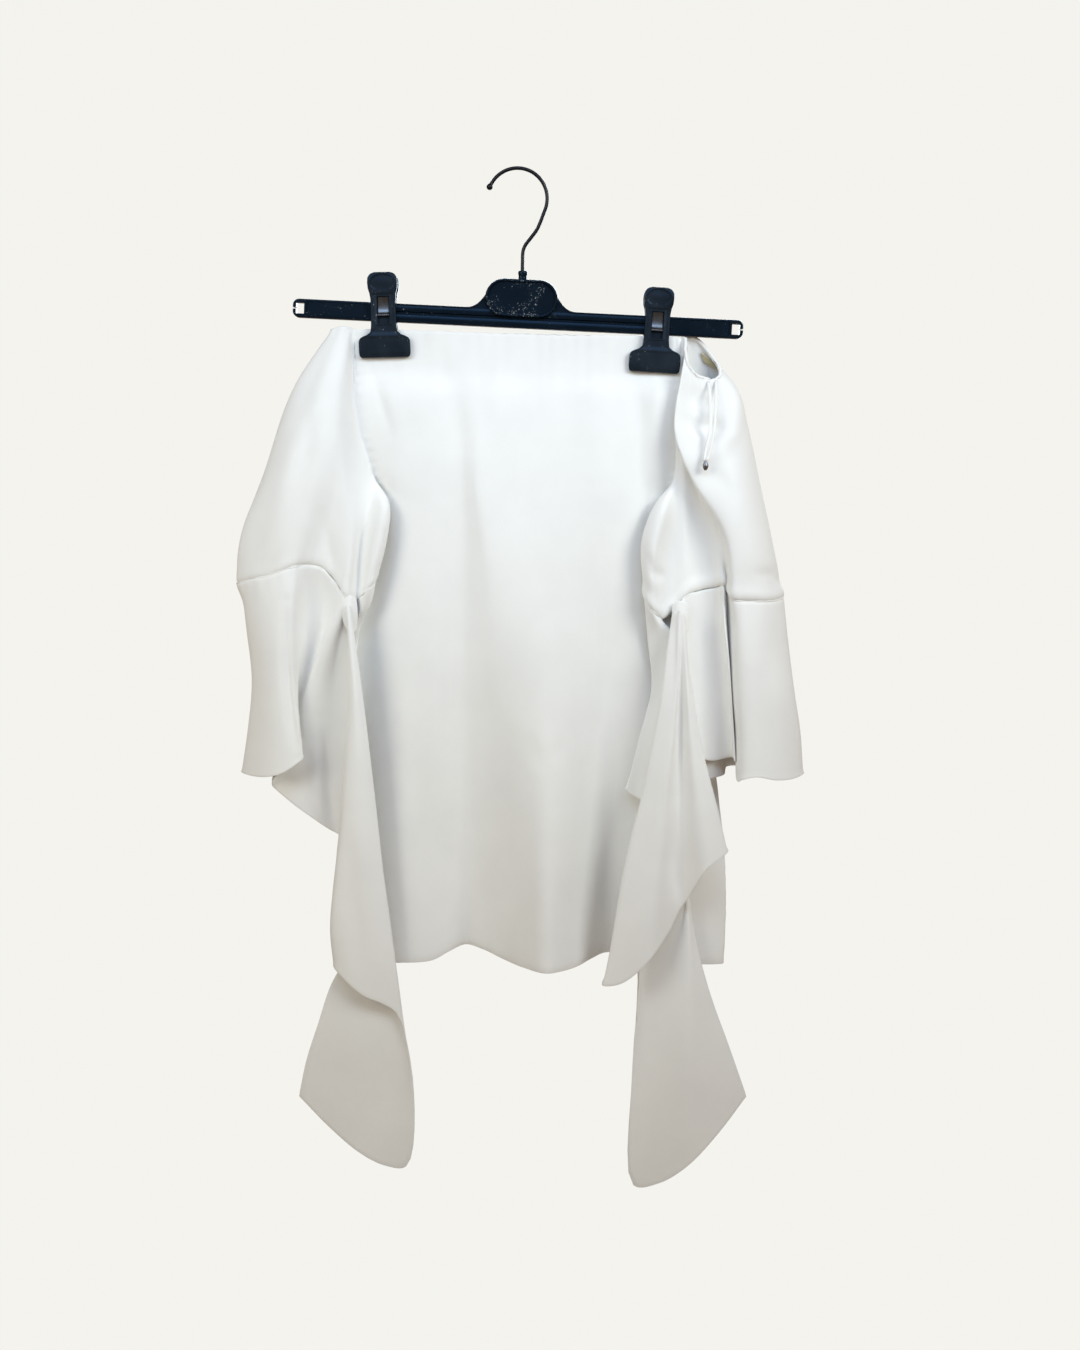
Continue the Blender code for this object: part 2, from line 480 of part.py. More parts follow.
def flounce_grid(rows, cascade, sleeve, around):
    """Columns of a flounce: the cascade from its free end, then the ring below the elbow seam."""
    ring = [along((row[1][-1], *row[2]), FLOUNCE_ROWS) for row in rows]
    hanging = [along(row[1], FLOUNCE_ROWS) for row in reversed(cascade)]
    lines = np.array(hanging + ring)
    count = len(hanging)
    loose = list(np.arange(0, count, 1 / CASCADE_STEPS))
    sewn = [(at, column) for at, column in zip(around, sleeve) if at <= len(rows) - 1]
    grid = curve_at(lines, loose + [count + at for at, _ in sewn])
    fade = (1 - np.linspace(0, 1, FLOUNCE_ROWS + 1)[:, None]) ** 2
    steps = unit(np.roll(sleeve[:, -1], -1, axis=0) - sleeve[:, -1])
    turns = 0.5 - 0.5 * np.sum(steps * np.roll(steps, 1, axis=0), axis=1)
    turns = np.maximum(turns, np.maximum(np.roll(turns, 1), np.roll(turns, -1)))
    made = []
    for number, points in enumerate(grid):
        if number < len(loose):
            run = unit(points[1] - points[0])
        else:
            column = sewn[number - len(loose)][1]
            run = unit(column[-1] - column[-2])
            part = SEAM_GAP + FOLD_PART * turns[number - len(loose)]
            points = points + (column[-1] + run * part - points[0]) * fade
        made.append(np.vstack([points[:1], points[:1] + run * SEAM_STEP, points[1:]]))
    return np.array(made)


def add_mesh(name, mesh, material, collection):
    mesh.materials.append(material)
    obj = bpy.data.objects.new(name, mesh)
    collection.objects.link(obj)
    return obj


def add_cloth(name, grid, material, collection, closed=False):
    """A cloth wall on a grid of columns. Its outer side faces away from the first cross product."""
    columns, rows = grid.shape[:2]
    vertices = [place(*point) for column in grid for point in column]
    faces = []
    for c in range(columns if closed else columns - 1):
        after = (c + 1) % columns
        for r in range(rows - 1):
            faces.append((c * rows + r, after * rows + r, after * rows + r + 1, c * rows + r + 1))
    mesh = bpy.data.meshes.new(name)
    mesh.from_pydata(vertices, [], faces)
    mesh.update()
    mesh.shade_smooth()
    obj = add_mesh(name, mesh, material, collection)
    wall = obj.modifiers.new("Wall", "SOLIDIFY")
    wall.thickness = WALL / 1000
    wall.offset = 0.0
    return obj


def make_garment(materials, collection):
    """Every sewn piece. It returns the right sleeve's columns and their places, for the tape."""
    cloth = materials["cloth"]
    front, back = bodice_grids()
    add_cloth("bodice_front", front, cloth, collection)
    add_cloth("bodice_back", back, cloth, collection)
    sides = (
        ("left", SLEEVE_LEFT, CASCADE_LEFT, front[0], front[1], back[-1], back[-2]),
        ("right", SLEEVE_RIGHT, CASCADE_RIGHT, front[-1], front[-2], back[0], back[1]),
    )
    for side, rows, cascade, front_edge, front_inner, back_edge, back_inner in sides:
        sleeve, around = sleeve_grid(
            rows, front_edge, unit(front_edge - front_inner), back_edge, unit(back_edge - back_inner)
        )
        add_cloth(f"sleeve_{side}", sleeve, cloth, collection, closed=True)
        flounce = flounce_grid(rows, cascade, sleeve, around)
        add_cloth(f"flounce_{side}", flounce, cloth, collection)
    return sleeve, around


def make_tube(name, points, widths, material, collection):
    """A wire through points, with its own width at each."""
    curve = bpy.data.curves.new(name, "CURVE")
    curve.dimensions = "3D"
    curve.bevel_depth = widths[0] / 2000
    curve.bevel_resolution = 2
    curve.use_fill_caps = True
    spline = curve.splines.new("POLY")
    spline.points.add(len(points) - 1)
    for point, where, width in zip(spline.points, points, widths):
        point.co = (*place(*where), 1.0)
        point.radius = width / widths[0]
    return add_mesh(name, curve, material, collection)


def make_hook(materials, collection):
    start, end = (math.radians(angle) for angle in HOOK_ARC)
    arc = [
        (HOOK_CENTRE[0] + HOOK_RADIUS * math.cos(a), HOOK_CENTRE[1] - HOOK_RADIUS * math.sin(a), 0.0)
        for a in np.linspace(start, end, 17)
    ]
    neck = [(x, down, 0.0) for x, down in HOOK_NECK]
    lower = along([arc[-2], arc[-1], *neck], 14)[2:]
    points = [*arc, *[tuple(point) for point in lower]]
    widths = [HOOK_WIRE] * len(points)
    # The ball: short stretches before the arc whose widths follow a circle.
    direction = Vector((arc[0][0] - arc[1][0], arc[0][1] - arc[1][1])).normalized()
    ball = []
    ball_widths = []
    for angle in (165, 135, 105, 75, 45):
        reach = HOOK_TIP / 2 * (0.9 - math.cos(math.radians(angle)))
        ball.append((arc[0][0] + direction.x * reach, arc[0][1] + direction.y * reach, 0.0))
        ball_widths.append(max(HOOK_TIP * math.sin(math.radians(angle)), 1.4))
    points = ball + points[1:]
    widths = ball_widths + widths[1:]
    make_tube("hook", points, widths, materials["gunmetal"], collection)


def box(bm, size, centre):
    made = bmesh.ops.create_cube(bm, size=1.0)["verts"]
    bmesh.ops.scale(bm, vec=Vector(size) / 1000, verts=made)
    bmesh.ops.translate(bm, vec=Vector(centre) / 1000, verts=made)


def mesh_of(name, build):
    mesh = bpy.data.meshes.new(name)
    bm = bmesh.new()
    build(bm)
    bmesh.ops.recalc_face_normals(bm, faces=bm.faces)
    bm.to_mesh(mesh)
    bm.free()
    return mesh


def outline_mesh(name, outline, depth):
    """A flat outline in X and Z, extruded to a depth along Y."""
    def build(bm):
        low = [bm.verts.new((x / 1000, -depth / 2000, z / 1000)) for x, z in outline]
        face = bm.faces.new(low)
        moved = bmesh.ops.extrude_face_region(bm, geom=[face])["geom"]
        top = [item for item in moved if isinstance(item, bmesh.types.BMVert)]
        bmesh.ops.translate(bm, vec=(0, depth / 1000, 0), verts=top)
    return mesh_of(name, build)


def stadium(width, height, centre, steps=8):
    """The outline of a plate with half-round ends."""
    half, radius = width / 2 - height / 2, height / 2
    points = []
    for middle, start in ((half, -90), (-half, 90)):
        for step in range(steps + 1):
            angle = math.radians(start + 180 * step / steps)
            points.append((centre[0] + middle + radius * math.cos(angle), centre[1] + radius * math.sin(angle)))
    return points


def hide_cutter(obj, parent):
    obj.parent = parent
    obj.hide_render = True
    obj.display_type = "WIRE"


def boolean(obj, other, operation):
    cut = obj.modifiers.new(operation.title(), "BOOLEAN")
    cut.operation = operation
    cut.object = other
    cut.solver = "EXACT"


def make_bar(materials, collection, cutters):
    carrier = bpy.data.objects.new("hanger_carrier", None)
    collection.objects.link(carrier)
    carrier.location = place(BAR_CENTRE[0], BAR_CENTRE[1], 0)
    carrier.rotation_euler = (0, math.radians(BAR_TILT), 0)

    half, top = BAR_LENGTH / 2, BAR_HEIGHT / 2
    boss_half = BOSS_SIZE[0] / 2
    shoulder = -BOSS_CENTRE[1] - 4.0
    outline = [
        (-half, -top + 2), (-half + 2, -top), (half - 2, -top), (half, -top + 2), (half, top - 2), (half - 2, top),
        (BOSS_CENTRE[0] + boss_half + FLARE, top), (BOSS_CENTRE[0] + boss_half + 3, top + 2.5),
        (BOSS_CENTRE[0] + boss_half - 3, shoulder), (BOSS_CENTRE[0] - boss_half + 3, shoulder),
        (BOSS_CENTRE[0] - boss_half - 3, top + 2.5), (BOSS_CENTRE[0] - boss_half - FLARE, top),
        (-half + 2, top), (-half, top - 2),
    ]
    bar = add_mesh("hanger_bar", outline_mesh("hanger_bar", outline, BAR_DEPTH), materials["black plastic"], collection)
    bar.parent = carrier

    boss = add_mesh(
        "boss_plate",
        outline_mesh("boss_plate", stadium(BOSS_SIZE[0], BOSS_SIZE[1], (BOSS_CENTRE[0], -BOSS_CENTRE[1])), BOSS_SIZE[2]),
        materials["black plastic"], cutters,
    )
    hide_cutter(boss, carrier)
    boolean(bar, boss, "UNION")

    def sockets(bm):
        box(bm, SOCKET_SIZE, (SHANK_PLACE, 0, -BOSS_CENTRE[1] + BOSS_SIZE[1] / 2 + SOCKET_SIZE[2] / 2 - 2.0))
    socket = add_mesh("socket_block", mesh_of("socket_block", sockets), materials["black plastic"], cutters)
    hide_cutter(socket, carrier)
    boolean(bar, socket, "UNION")

    def recesses(bm):
        start, end = GROOVE_SPAN
        for side in (-1, 1):
            for face in (-1, 1):
                box(bm, (end - start, 2 * GROOVE_DEPTH, GROOVE_HEIGHT),
                    (BOSS_CENTRE[0] + side * (start + end) / 2, face * BAR_DEPTH / 2, 0))
            hole = side * (half - 3.0 - LOOP_HOLE[0] / 2)
            box(bm, (LOOP_HOLE[0], 3 * BAR_DEPTH, LOOP_HOLE[1]), (hole, 0, 0))
        bore = bmesh.ops.create_cone(
            bm, cap_ends=True, segments=16, radius1=(HOOK_WIRE / 2 + CLEAR) / 1000,
            radius2=(HOOK_WIRE / 2 + CLEAR) / 1000, depth=0.030)["verts"]
        bmesh.ops.translate(bm, vec=Vector((SHANK_PLACE, 0, 45.0)) / 1000, verts=bore)
    holes = add_mesh("bar_recesses", mesh_of("bar_recesses", recesses), materials["black plastic"], cutters)
    hide_cutter(holes, carrier)
    boolean(bar, holes, "DIFFERENCE")

    def slits(bm):
        for side in (-1, 1):
            box(bm, (12.0, 3 * BAR_DEPTH, LOOP_SLIT), (side * (half - 1.0), 0, 0))
    slit = add_mesh("bar_slits", mesh_of("bar_slits", slits), materials["black plastic"], cutters)
    hide_cutter(slit, carrier)
    boolean(bar, slit, "DIFFERENCE")

    face_cut = add_mesh(
        "boss_recess",
        outline_mesh("boss_recess", stadium(BOSS_SIZE[0] - 2 * BOSS_RIM, BOSS_SIZE[1] - 2 * BOSS_RIM,
                                            (BOSS_CENTRE[0], -BOSS_CENTRE[1])), 2.0),
        materials["black plastic"], cutters,
    )
    face_cut.location = (0, -BOSS_SIZE[2] / 2000, 0)
    hide_cutter(face_cut, carrier)
    boolean(bar, face_cut, "DIFFERENCE")


def plate_mesh(name, facing):
    """A jaw's plate as a loft through CLIP_ROWS, each a rectangle."""
    def build(bm):
        rings = []
        for _, down, half, inner, outer in CLIP_ROWS:
            corners = ((-half, inner), (half, inner), (half, outer), (-half, outer))
            rings.append([bm.verts.new((x / 1000, -facing * y / 1000, -down / 1000)) for x, y in corners])
        for upper, lower in zip(rings, rings[1:]):
            for side in range(4):
                after = (side + 1) % 4
                bm.faces.new((upper[side], upper[after], lower[after], lower[side]))
        bm.faces.new(rings[0])
        bm.faces.new(rings[-1])
    return mesh_of(name, build)


def spring_outline():
    """The spring's band seen from the side: over the bar, with a leg down the window of each plate."""
    reach, high, low = 9.4, WINDOW[1] + 1.2, WINDOW[1] + WINDOW[2] - 2.5
    outer = [(-reach, low), (-reach, high + 2.2), (-reach + 2.0, high)]
    inner = [(-reach + SPRING_WALL, low), (-reach + SPRING_WALL, high + 2.4), (-reach + 2.2, high + SPRING_WALL)]
    outer += [(-y, z) for y, z in reversed(outer)]
    inner += [(-y, z) for y, z in reversed(inner)]
    return outer + inner[::-1]


def make_clip(side, right, down, tilt, materials, collection, cutters):
    carrier = bpy.data.objects.new(f"clip_{side}_carrier", None)
    collection.objects.link(carrier)
    carrier.location = place(right, down, 0)
    carrier.rotation_euler = (0, math.radians(tilt), 0)

    def window(bm):
        box(bm, (WINDOW[0], 40.0, WINDOW[2]), (0, 0, -WINDOW[1] - WINDOW[2] / 2))
    opening = add_mesh(f"clip_{side}_window", mesh_of(f"clip_{side}_window", window), materials["spring steel"], cutters)
    hide_cutter(opening, carrier)
    for name, facing in (("front", 1), ("back", -1)):
        node = f"clip_{side}_{name}"
        plate = add_mesh(node, plate_mesh(node, facing), materials["black plastic"], collection)
        plate.parent = carrier
        boolean(plate, opening, "DIFFERENCE")
    band = outline_mesh(f"clip_{side}_spring", spring_outline(), SPRING_WIDTH)
    spring = add_mesh(f"clip_{side}_spring", band, materials["spring steel"], collection)
    for vertex in spring.data.vertices:
        x, y, z = vertex.co
        vertex.co = (y, x, -z)
    spring.parent = carrier


def tape_grid(sleeve, around):
    """The tape's columns, which lie on the inner side of the sleeve a little below its neck edge."""
    names = [row[0] for row in SLEEVE_RIGHT]
    first = names.index(TAPE_FOLDS[0])
    made = []
    for at in np.linspace(first + TAPE_ENDS[0], first + TAPE_ENDS[1], 6):
        i = int(np.searchsorted(around, at))
        share = (at - around[i - 1]) / (around[i] - around[i - 1])
        column = sleeve[i - 1] * (1 - share) + sleeve[i] * share
        below = unit(column[2] - column[0])
        inward = unit(np.cross(below, sleeve[i][0] - sleeve[i - 1][0]))
        start = column[0] + inward * (TAPE_GAP + (WALL + TAPE_WALL) / 2) * math.copysign(1.0, inward[2])
        made.append([start + below * (TAPE_DROP + share) for share in (0, TAPE_WIDTH / 2, TAPE_WIDTH)])
    return np.array(made)


def make_trim(sleeve, around, materials, collection):
    tape = add_cloth("grip_tape", tape_grid(sleeve, around), materials["grip tape"], collection)
    tape.modifiers["Wall"].thickness = TAPE_WALL / 1000
    for name, route in RIBBONS:
        points = along(route, 12)
        make_tube(name, [tuple(point) for point in points], [RIBBON] * len(points), materials["ribbon"], collection)

    def ball(bm):
        bmesh.ops.create_icosphere(bm, subdivisions=2, radius=0.5)
        bmesh.ops.scale(bm, vec=Vector(BEAD_SIZE) / 1000, verts=bm.verts)
    bead = add_mesh("ribbon_bead", mesh_of("ribbon_bead", ball), materials["bead"], collection)
    bead.location = place(*BEAD)


def main():
    clear_scene()
    materials = make_materials()
    parts = make_collection("off_shoulder_top")
    cutters = make_collection("cutters")
    sleeve, around = make_garment(materials, parts)
    make_hook(materials, parts)
    make_bar(materials, parts, cutters)
    for side, right, down, tilt in CLIPS:
        make_clip(side, right, down, tilt, materials, parts, cutters)
    make_trim(sleeve, around, materials, parts)


main()
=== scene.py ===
# Off-shoulder top on its two-clip hanger: the cloth's fine shape, the finishes, the camera and the light.
#
# Tables are in millimetres, as in the solids: right of the hook's rest point, down from it, and out from
# the hanger's middle plane towards the front. vertices_of() turns them into metres with X right, Y back, Z
# up.
import math

import bmesh
import bpy
import numpy as np
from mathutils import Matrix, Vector

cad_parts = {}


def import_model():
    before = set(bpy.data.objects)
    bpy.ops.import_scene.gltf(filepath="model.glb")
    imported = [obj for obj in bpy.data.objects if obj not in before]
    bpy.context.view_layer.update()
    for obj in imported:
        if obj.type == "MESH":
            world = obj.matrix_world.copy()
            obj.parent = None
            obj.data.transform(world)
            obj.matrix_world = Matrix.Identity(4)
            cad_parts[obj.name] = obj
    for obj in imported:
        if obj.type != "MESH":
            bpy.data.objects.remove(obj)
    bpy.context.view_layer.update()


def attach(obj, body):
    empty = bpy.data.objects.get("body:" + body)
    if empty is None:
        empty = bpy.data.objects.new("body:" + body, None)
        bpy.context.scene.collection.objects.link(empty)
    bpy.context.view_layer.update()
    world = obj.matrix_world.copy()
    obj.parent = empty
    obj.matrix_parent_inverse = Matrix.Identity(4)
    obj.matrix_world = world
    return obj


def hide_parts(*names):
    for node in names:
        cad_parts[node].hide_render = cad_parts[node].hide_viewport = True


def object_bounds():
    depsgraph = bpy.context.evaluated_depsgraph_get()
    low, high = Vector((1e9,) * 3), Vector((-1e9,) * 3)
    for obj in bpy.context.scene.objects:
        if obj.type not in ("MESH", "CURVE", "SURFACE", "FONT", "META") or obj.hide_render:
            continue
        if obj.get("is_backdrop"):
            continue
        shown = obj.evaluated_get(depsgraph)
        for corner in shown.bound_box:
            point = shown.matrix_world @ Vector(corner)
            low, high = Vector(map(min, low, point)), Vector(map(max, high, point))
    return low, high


WALL = 1.5  # thickness of the solids' cloth, which the tape is set off from
CLOTH = 1.0  # thickness of the cloth that shows
NECK_ROLL = 2.2  # how much thicker the rolled neck edge is
PUFF = {"left": 0.5, "right": 1.5}  # how far a sleeve swells just above its elbow seam
EDGE_STEPS = 4  # faces round a cut edge
SEAM_GAP = 0.06  # between two pieces at their seam
UNDERARM_GAP = 0.3  # the same at the underarm, on each side
UNDERARM_PART = 0.5  # how much further down a sleeve starts there
UNDERARM_REACH = 30.0  # how far up the armhole that goes
UNDERARM_TURN = 70.0  # degrees that the armhole's edge turns outwards on its way down
UNDERARM_RISE = 1.6  # how steeply a sleeve leaves the underarm
FOLD_PART = 0.3  # how much further down a flounce starts under a sharp fold
SEAM_STEP = 1.6  # from a seam to the first row beside it
SEAM_EASE = 1.5  # how far from a seam its pucker and the puff set in
SEAM_GROOVE = 1.8  # half width of the groove that a seam lies in
NECK_ROLL_DROP = 2.6  # how far down the roll goes
NECK_END = (182, 188)  # down, between which a sleeve's neck edge turns into its armhole
NECK_CASING = (0.6, 7.0)  # how much thicker the body's neck casing is, and how far down
HEM = (0.5, 14.0)  # how much thicker the body's hem is, and how high
PUFF_RISE = 6.0  # how far above the elbow seam the puff is fullest
TIGHT_GATHERS = (148, 12)  # right of the hook, where the neck gathers are tightest, and their half width

# Hanger mouldings.
HOOK_WIRE = 3.2
HOOK_CENTRE = (-2.2, 24.4)
HOOK_RADIUS = 26.0
HOOK_ARC = (152, -25)  # degrees, from the tip to the start of the neck
HOOK_NECK = ((15.2, 50.3), (9.5, 58.0), (4.6, 64.4), (2.7, 69.5), (2.2, 79.0), (2.0, 96.5))
HOOK_TIP = 5.6
BAR_CENTRE = (-1.7, 127.9)
BAR_TILT = 2.76
BAR_LENGTH = 396.0
BAR_HEIGHT = 16.0
BAR_FACE = 4.5  # out from the middle plane
BAR_END_ROUND = 5.5
BAR_HOLE = (188.0, 195.0, 4.8)  # from and to this far from the middle, and half its height
BAR_SLIT = 0.8  # half its height
GROOVE_END = 112.0
PANEL_START = 132.0
FLARE_SPAN = (31.0, 49.0)
FLARE_RISE = 13.0
BOSS_CENTRE = (2.2, -17.5)
BOSS_SIZE = (64.0, 33.0)
BOSS_PROFILE = (  # inset from the outline, and out
    (0.0, 4.4), (0.3, 5.9), (0.9, 6.8), (1.6, 7.0), (2.2, 6.8), (2.7, 5.6), (3.2, 5.0), (9.0, 4.9),
    (15.0, 4.9),
)
BOSS_STEPS = 12  # faces round each half-round end
SOCKET_PLACE = (2.2, -37.6)
SOCKET_PROFILE = (  # down from its place, and width
    (-4.0, 6.4), (-3.8, 7.6), (-3.0, 8.1), (-1.0, 8.1), (0.0, 7.2), (2.0, 7.2), (5.0, 8.4),
)
SOCKET_DEPTH = 0.88  # of its width
CLIPS = (("left", -120.6, 88.3, -1.4), ("right", 122.4, 101.4, 3.6))  # place of the head, and tilt
CLIP_OUTLINE = (  # down, half width
    (0.0, 6.0), (0.5, 8.6), (1.8, 11.0), (4.5, 12.8), (9.0, 13.2), (14.0, 12.8), (18.0, 11.6), (23.0, 10.9),
    (34.0, 10.8), (46.0, 11.2), (51.0, 11.9), (53.6, 14.8), (55.2, 19.0), (56.6, 21.3), (58.8, 22.4),
    (62.0, 22.6), (69.5, 22.6), (72.2, 22.0), (73.5, 20.2),
)
CLIP_DEPTHS = (  # down, inner face, outer face
    (0.0, 7.4, 9.4), (8.0, 6.2, 10.4), (17.0, 5.0, 9.2), (22.0, 4.9, 8.6), (40.0, 4.9, 8.2), (52.0, 4.9, 8.2),
    (56.0, 4.0, 8.2), (60.0, 3.4, 8.0), (71.0, 3.4, 7.4), (73.5, 3.4, 6.6),
)
CLIP_WINDOW = (5.2, 21.0, 44.5)  # half width, top and foot
THUMB_PAD = (9.2, 10.9, 7.7)  # down to its middle, half width and half height
SPRING_LEG = (  # down and out
    (21.6, 6.6), (25.0, 6.2), (30.0, 6.1), (33.5, 6.5), (35.6, 7.3), (36.9, 8.2), (37.5, 8.0), (37.4, 7.2),
)
SPRING_WALL = 0.5
EDGE_ROUND = 1.1
SHARP_ANGLE = 35  # degrees between faces from which a moulding's edge is sharp

RIBBON_POINTS = 30
RIBBON_WIDTH = 3.0
RIBBON_THICK = 1.0

# Finishes.
CREPE_TONES = ((0.3, (0.842, 0.834, 0.802, 1.0)), (0.7, (0.880, 0.872, 0.838, 1.0)))  # cloudiness and colour
FLECK_COLOUR = (0.34, 0.35, 0.34, 1)

# Camera, light and floor, in metres.
CAMERA_AT = (0.0175, -1.5, -0.2855)
CAMERA_TARGET = (0.0175, 0.0, -0.443)
CAMERA_LENS = 44.69
LIGHTS = (  # name, place, target, size, watts, spread in degrees, colour
    ("key", (-0.08, -0.66, 0.26), (-0.02, 0.0, -0.24), (1.1, 0.35), 1.15, 80, (0.5, 0.7, 1.0)),
    ("right", (1.0, -0.9, 0.35), (0.1, 0.0, -0.3), (0.7, 0.7), 2.35, 70, (0.93, 1.0, 1.0)),
    ("left", (-1.0, -0.9, 0.1), (-0.2, 0.0, -0.4), (0.7, 0.7), 1.4, 70, (0.96, 1.0, 0.9)),
    ("back", (0.3, 1.5, 0.2), (0.0, 0.0, -0.45), (1.2, 0.8), 8.0, 90, (0.78, 0.92, 1.0)),
)
BACKGROUND = (0.905, 0.896, 0.855)
AMBIENT = (1.0, 0.7, 0.49)
AMBIENT_STRENGTH = 0.23
FLOOR_HEIGHT = -1.15
FLOOR_SIZE = (1.6, -2.2, 0.1)  # half width, near and far edge

# Bodice: every row runs neck, grip, then LEVELS, then hem.
GRIP_DROP = 35.0
LEVELS = (194, 229, 260, 286, 339, 428, 519, 610, 666)
LEVEL_STEPS = (2, 2, 2, 3, 5, 1, 2, 2, 2, 2, 1)  # rows of faces between two levels
ARMHOLE_SPANS = 5  # of those, from the neck to the underarm
SIDE_LEFT = {
    "neck": (-147, 138, 0),
    "x": (-145, -141, -131, -125, -136, -148, -155, -159, -160),
    "out": (0, 0, 0, 0, -5, -8, -8, -6, -4),
    "armhole": (1.8, 2.0, 6, 8, 6),
    "hem": (-159, 706, -3),
}
SIDE_RIGHT = {
    "neck": (145, 145, 0),
    "x": (143, 139, 138, 133, 135, 158, 175, 186, 187),
    "out": (0, 0, 0, 0, -6, -10, -10, -6, 0),
    "armhole": (1.8, 2.0, 5, 6, 5),
    "hem": (185, 707, 2),
}
FRONT_FOLDS = (  # fold, neck, out at the grip, right at LEVELS, out at LEVELS, hem
    ("clip_left", (-121, 138, 2.0), 2.0, (-119, -115, -111, -106, -108, -111, -110, -109, -107),
     (12, 15, 16, 16, 16, 18, 20, 22, 24), (-107, 700, 26)),
    ("soft_left", (-84, 139, 2.0), 2.4, (-83, -81, -80, -81, -81, -81, -84, -84, -82),
     (13, 18, 20, 21, 23, 24, 20, 16, 15), (-80, 701, 14)),
    ("valley_left", (-57, 140, 3.0), 7, (-54, -52, -51, -50, -50, -52, -52, -52, -51),
     (13, 18, 21, 22, 22, 18, 10, 0, -7), (-51, 693, -11)),
    ("ridge_slant", (-31, 141, 3.0), 8, (-32, -35, -36, -35, -27, -21, -16, -14, -15),
     (16, 23, 27, 29, 31, 29, 24, 18, 15), (-16, 700, 14)),
    ("ridge_middle", (4, 142, 3.0), 7, (2, 3, 4, 6, 10, 18, 21, 22, 22),
     (13, 19, 22, 24, 29, 35, 40, 44, 46), (22, 704, 47)),
    ("soft_right", (35, 143, 3.0), 7, (35, 36, 38, 39, 43, 47, 49, 51, 51),
     (13, 18, 22, 24, 27, 29, 29, 28, 28), (51, 703, 28)),
    ("valley_right", (66, 143, 3.0), 6, (67, 70, 72, 74, 75, 78, 78, 79, 79),
     (13, 19, 22, 23, 22, 16, 10, 4, -1), (78, 699, -5)),
    ("band_right", (97, 143, 2.0), 2.0, (102, 103, 104, 105, 107, 109, 111, 114, 115),
     (8, 12, 13, 14, 14, 14, 14, 13, 12), (115, 700, 12)),
    ("clip_right", (123, 144, 2.0), 2.0, (121, 119, 116, 113, 114, 126, 138, 143, 146),
     (10, 12, 11, 9, 8, 8, 9, 11, 13), (148, 704, 14)),
)
BACK_FOLDS = (
    ("back_clip_right", (123, 144, -2.0), -2.0, (122, 121, 121, 121, 124, 138, 146, 150, 151),
     (-12, -18, -22, -24, -27, -31, -34, -36, -38), (152, 702, -38)),
    ("back_valley_right", (80, 143, -2.2), -2.8, (80, 82, 84, 85, 88, 94, 98, 100, 100),
     (-12, -18, -21, -22, -24, -25, -24, -22, -21), (100, 700, -21)),
    ("back_ridge_right", (35, 142, -3.0), -7, (34, 34, 35, 36, 38, 42, 46, 48, 48),
     (-14, -20, -23, -25, -29, -35, -41, -45, -47), (48, 702, -48)),
    ("back_valley_middle", (-10, 141, -3.0), -7, (-10, -10, -9, -8, -6, -4, -2, -2, -2),
     (-13, -18, -21, -22, -24, -24, -22, -21, -20), (-2, 700, -20)),
    ("back_ridge_left", (-50, 140, -3.0), -7, (-50, -50, -50, -50, -50, -51, -52, -53, -53),
     (-13, -19, -22, -24, -28, -35, -40, -44, -46), (-53, 700, -47)),
    ("back_valley_left", (-88, 139, -2.2), -3.2, (-88, -88, -89, -90, -92, -96, -98, -100, -100),
     (-11, -16, -19, -20, -23, -25, -25, -24, -23), (-100, 698, -23)),
    ("back_clip_left", (-121, 138, -2.0), -2.0, (-120, -118, -116, -115, -120, -130, -136, -139, -140),
     (-11, -17, -20, -22, -26, -31, -34, -36, -37), (-140, 697, -37)),
)

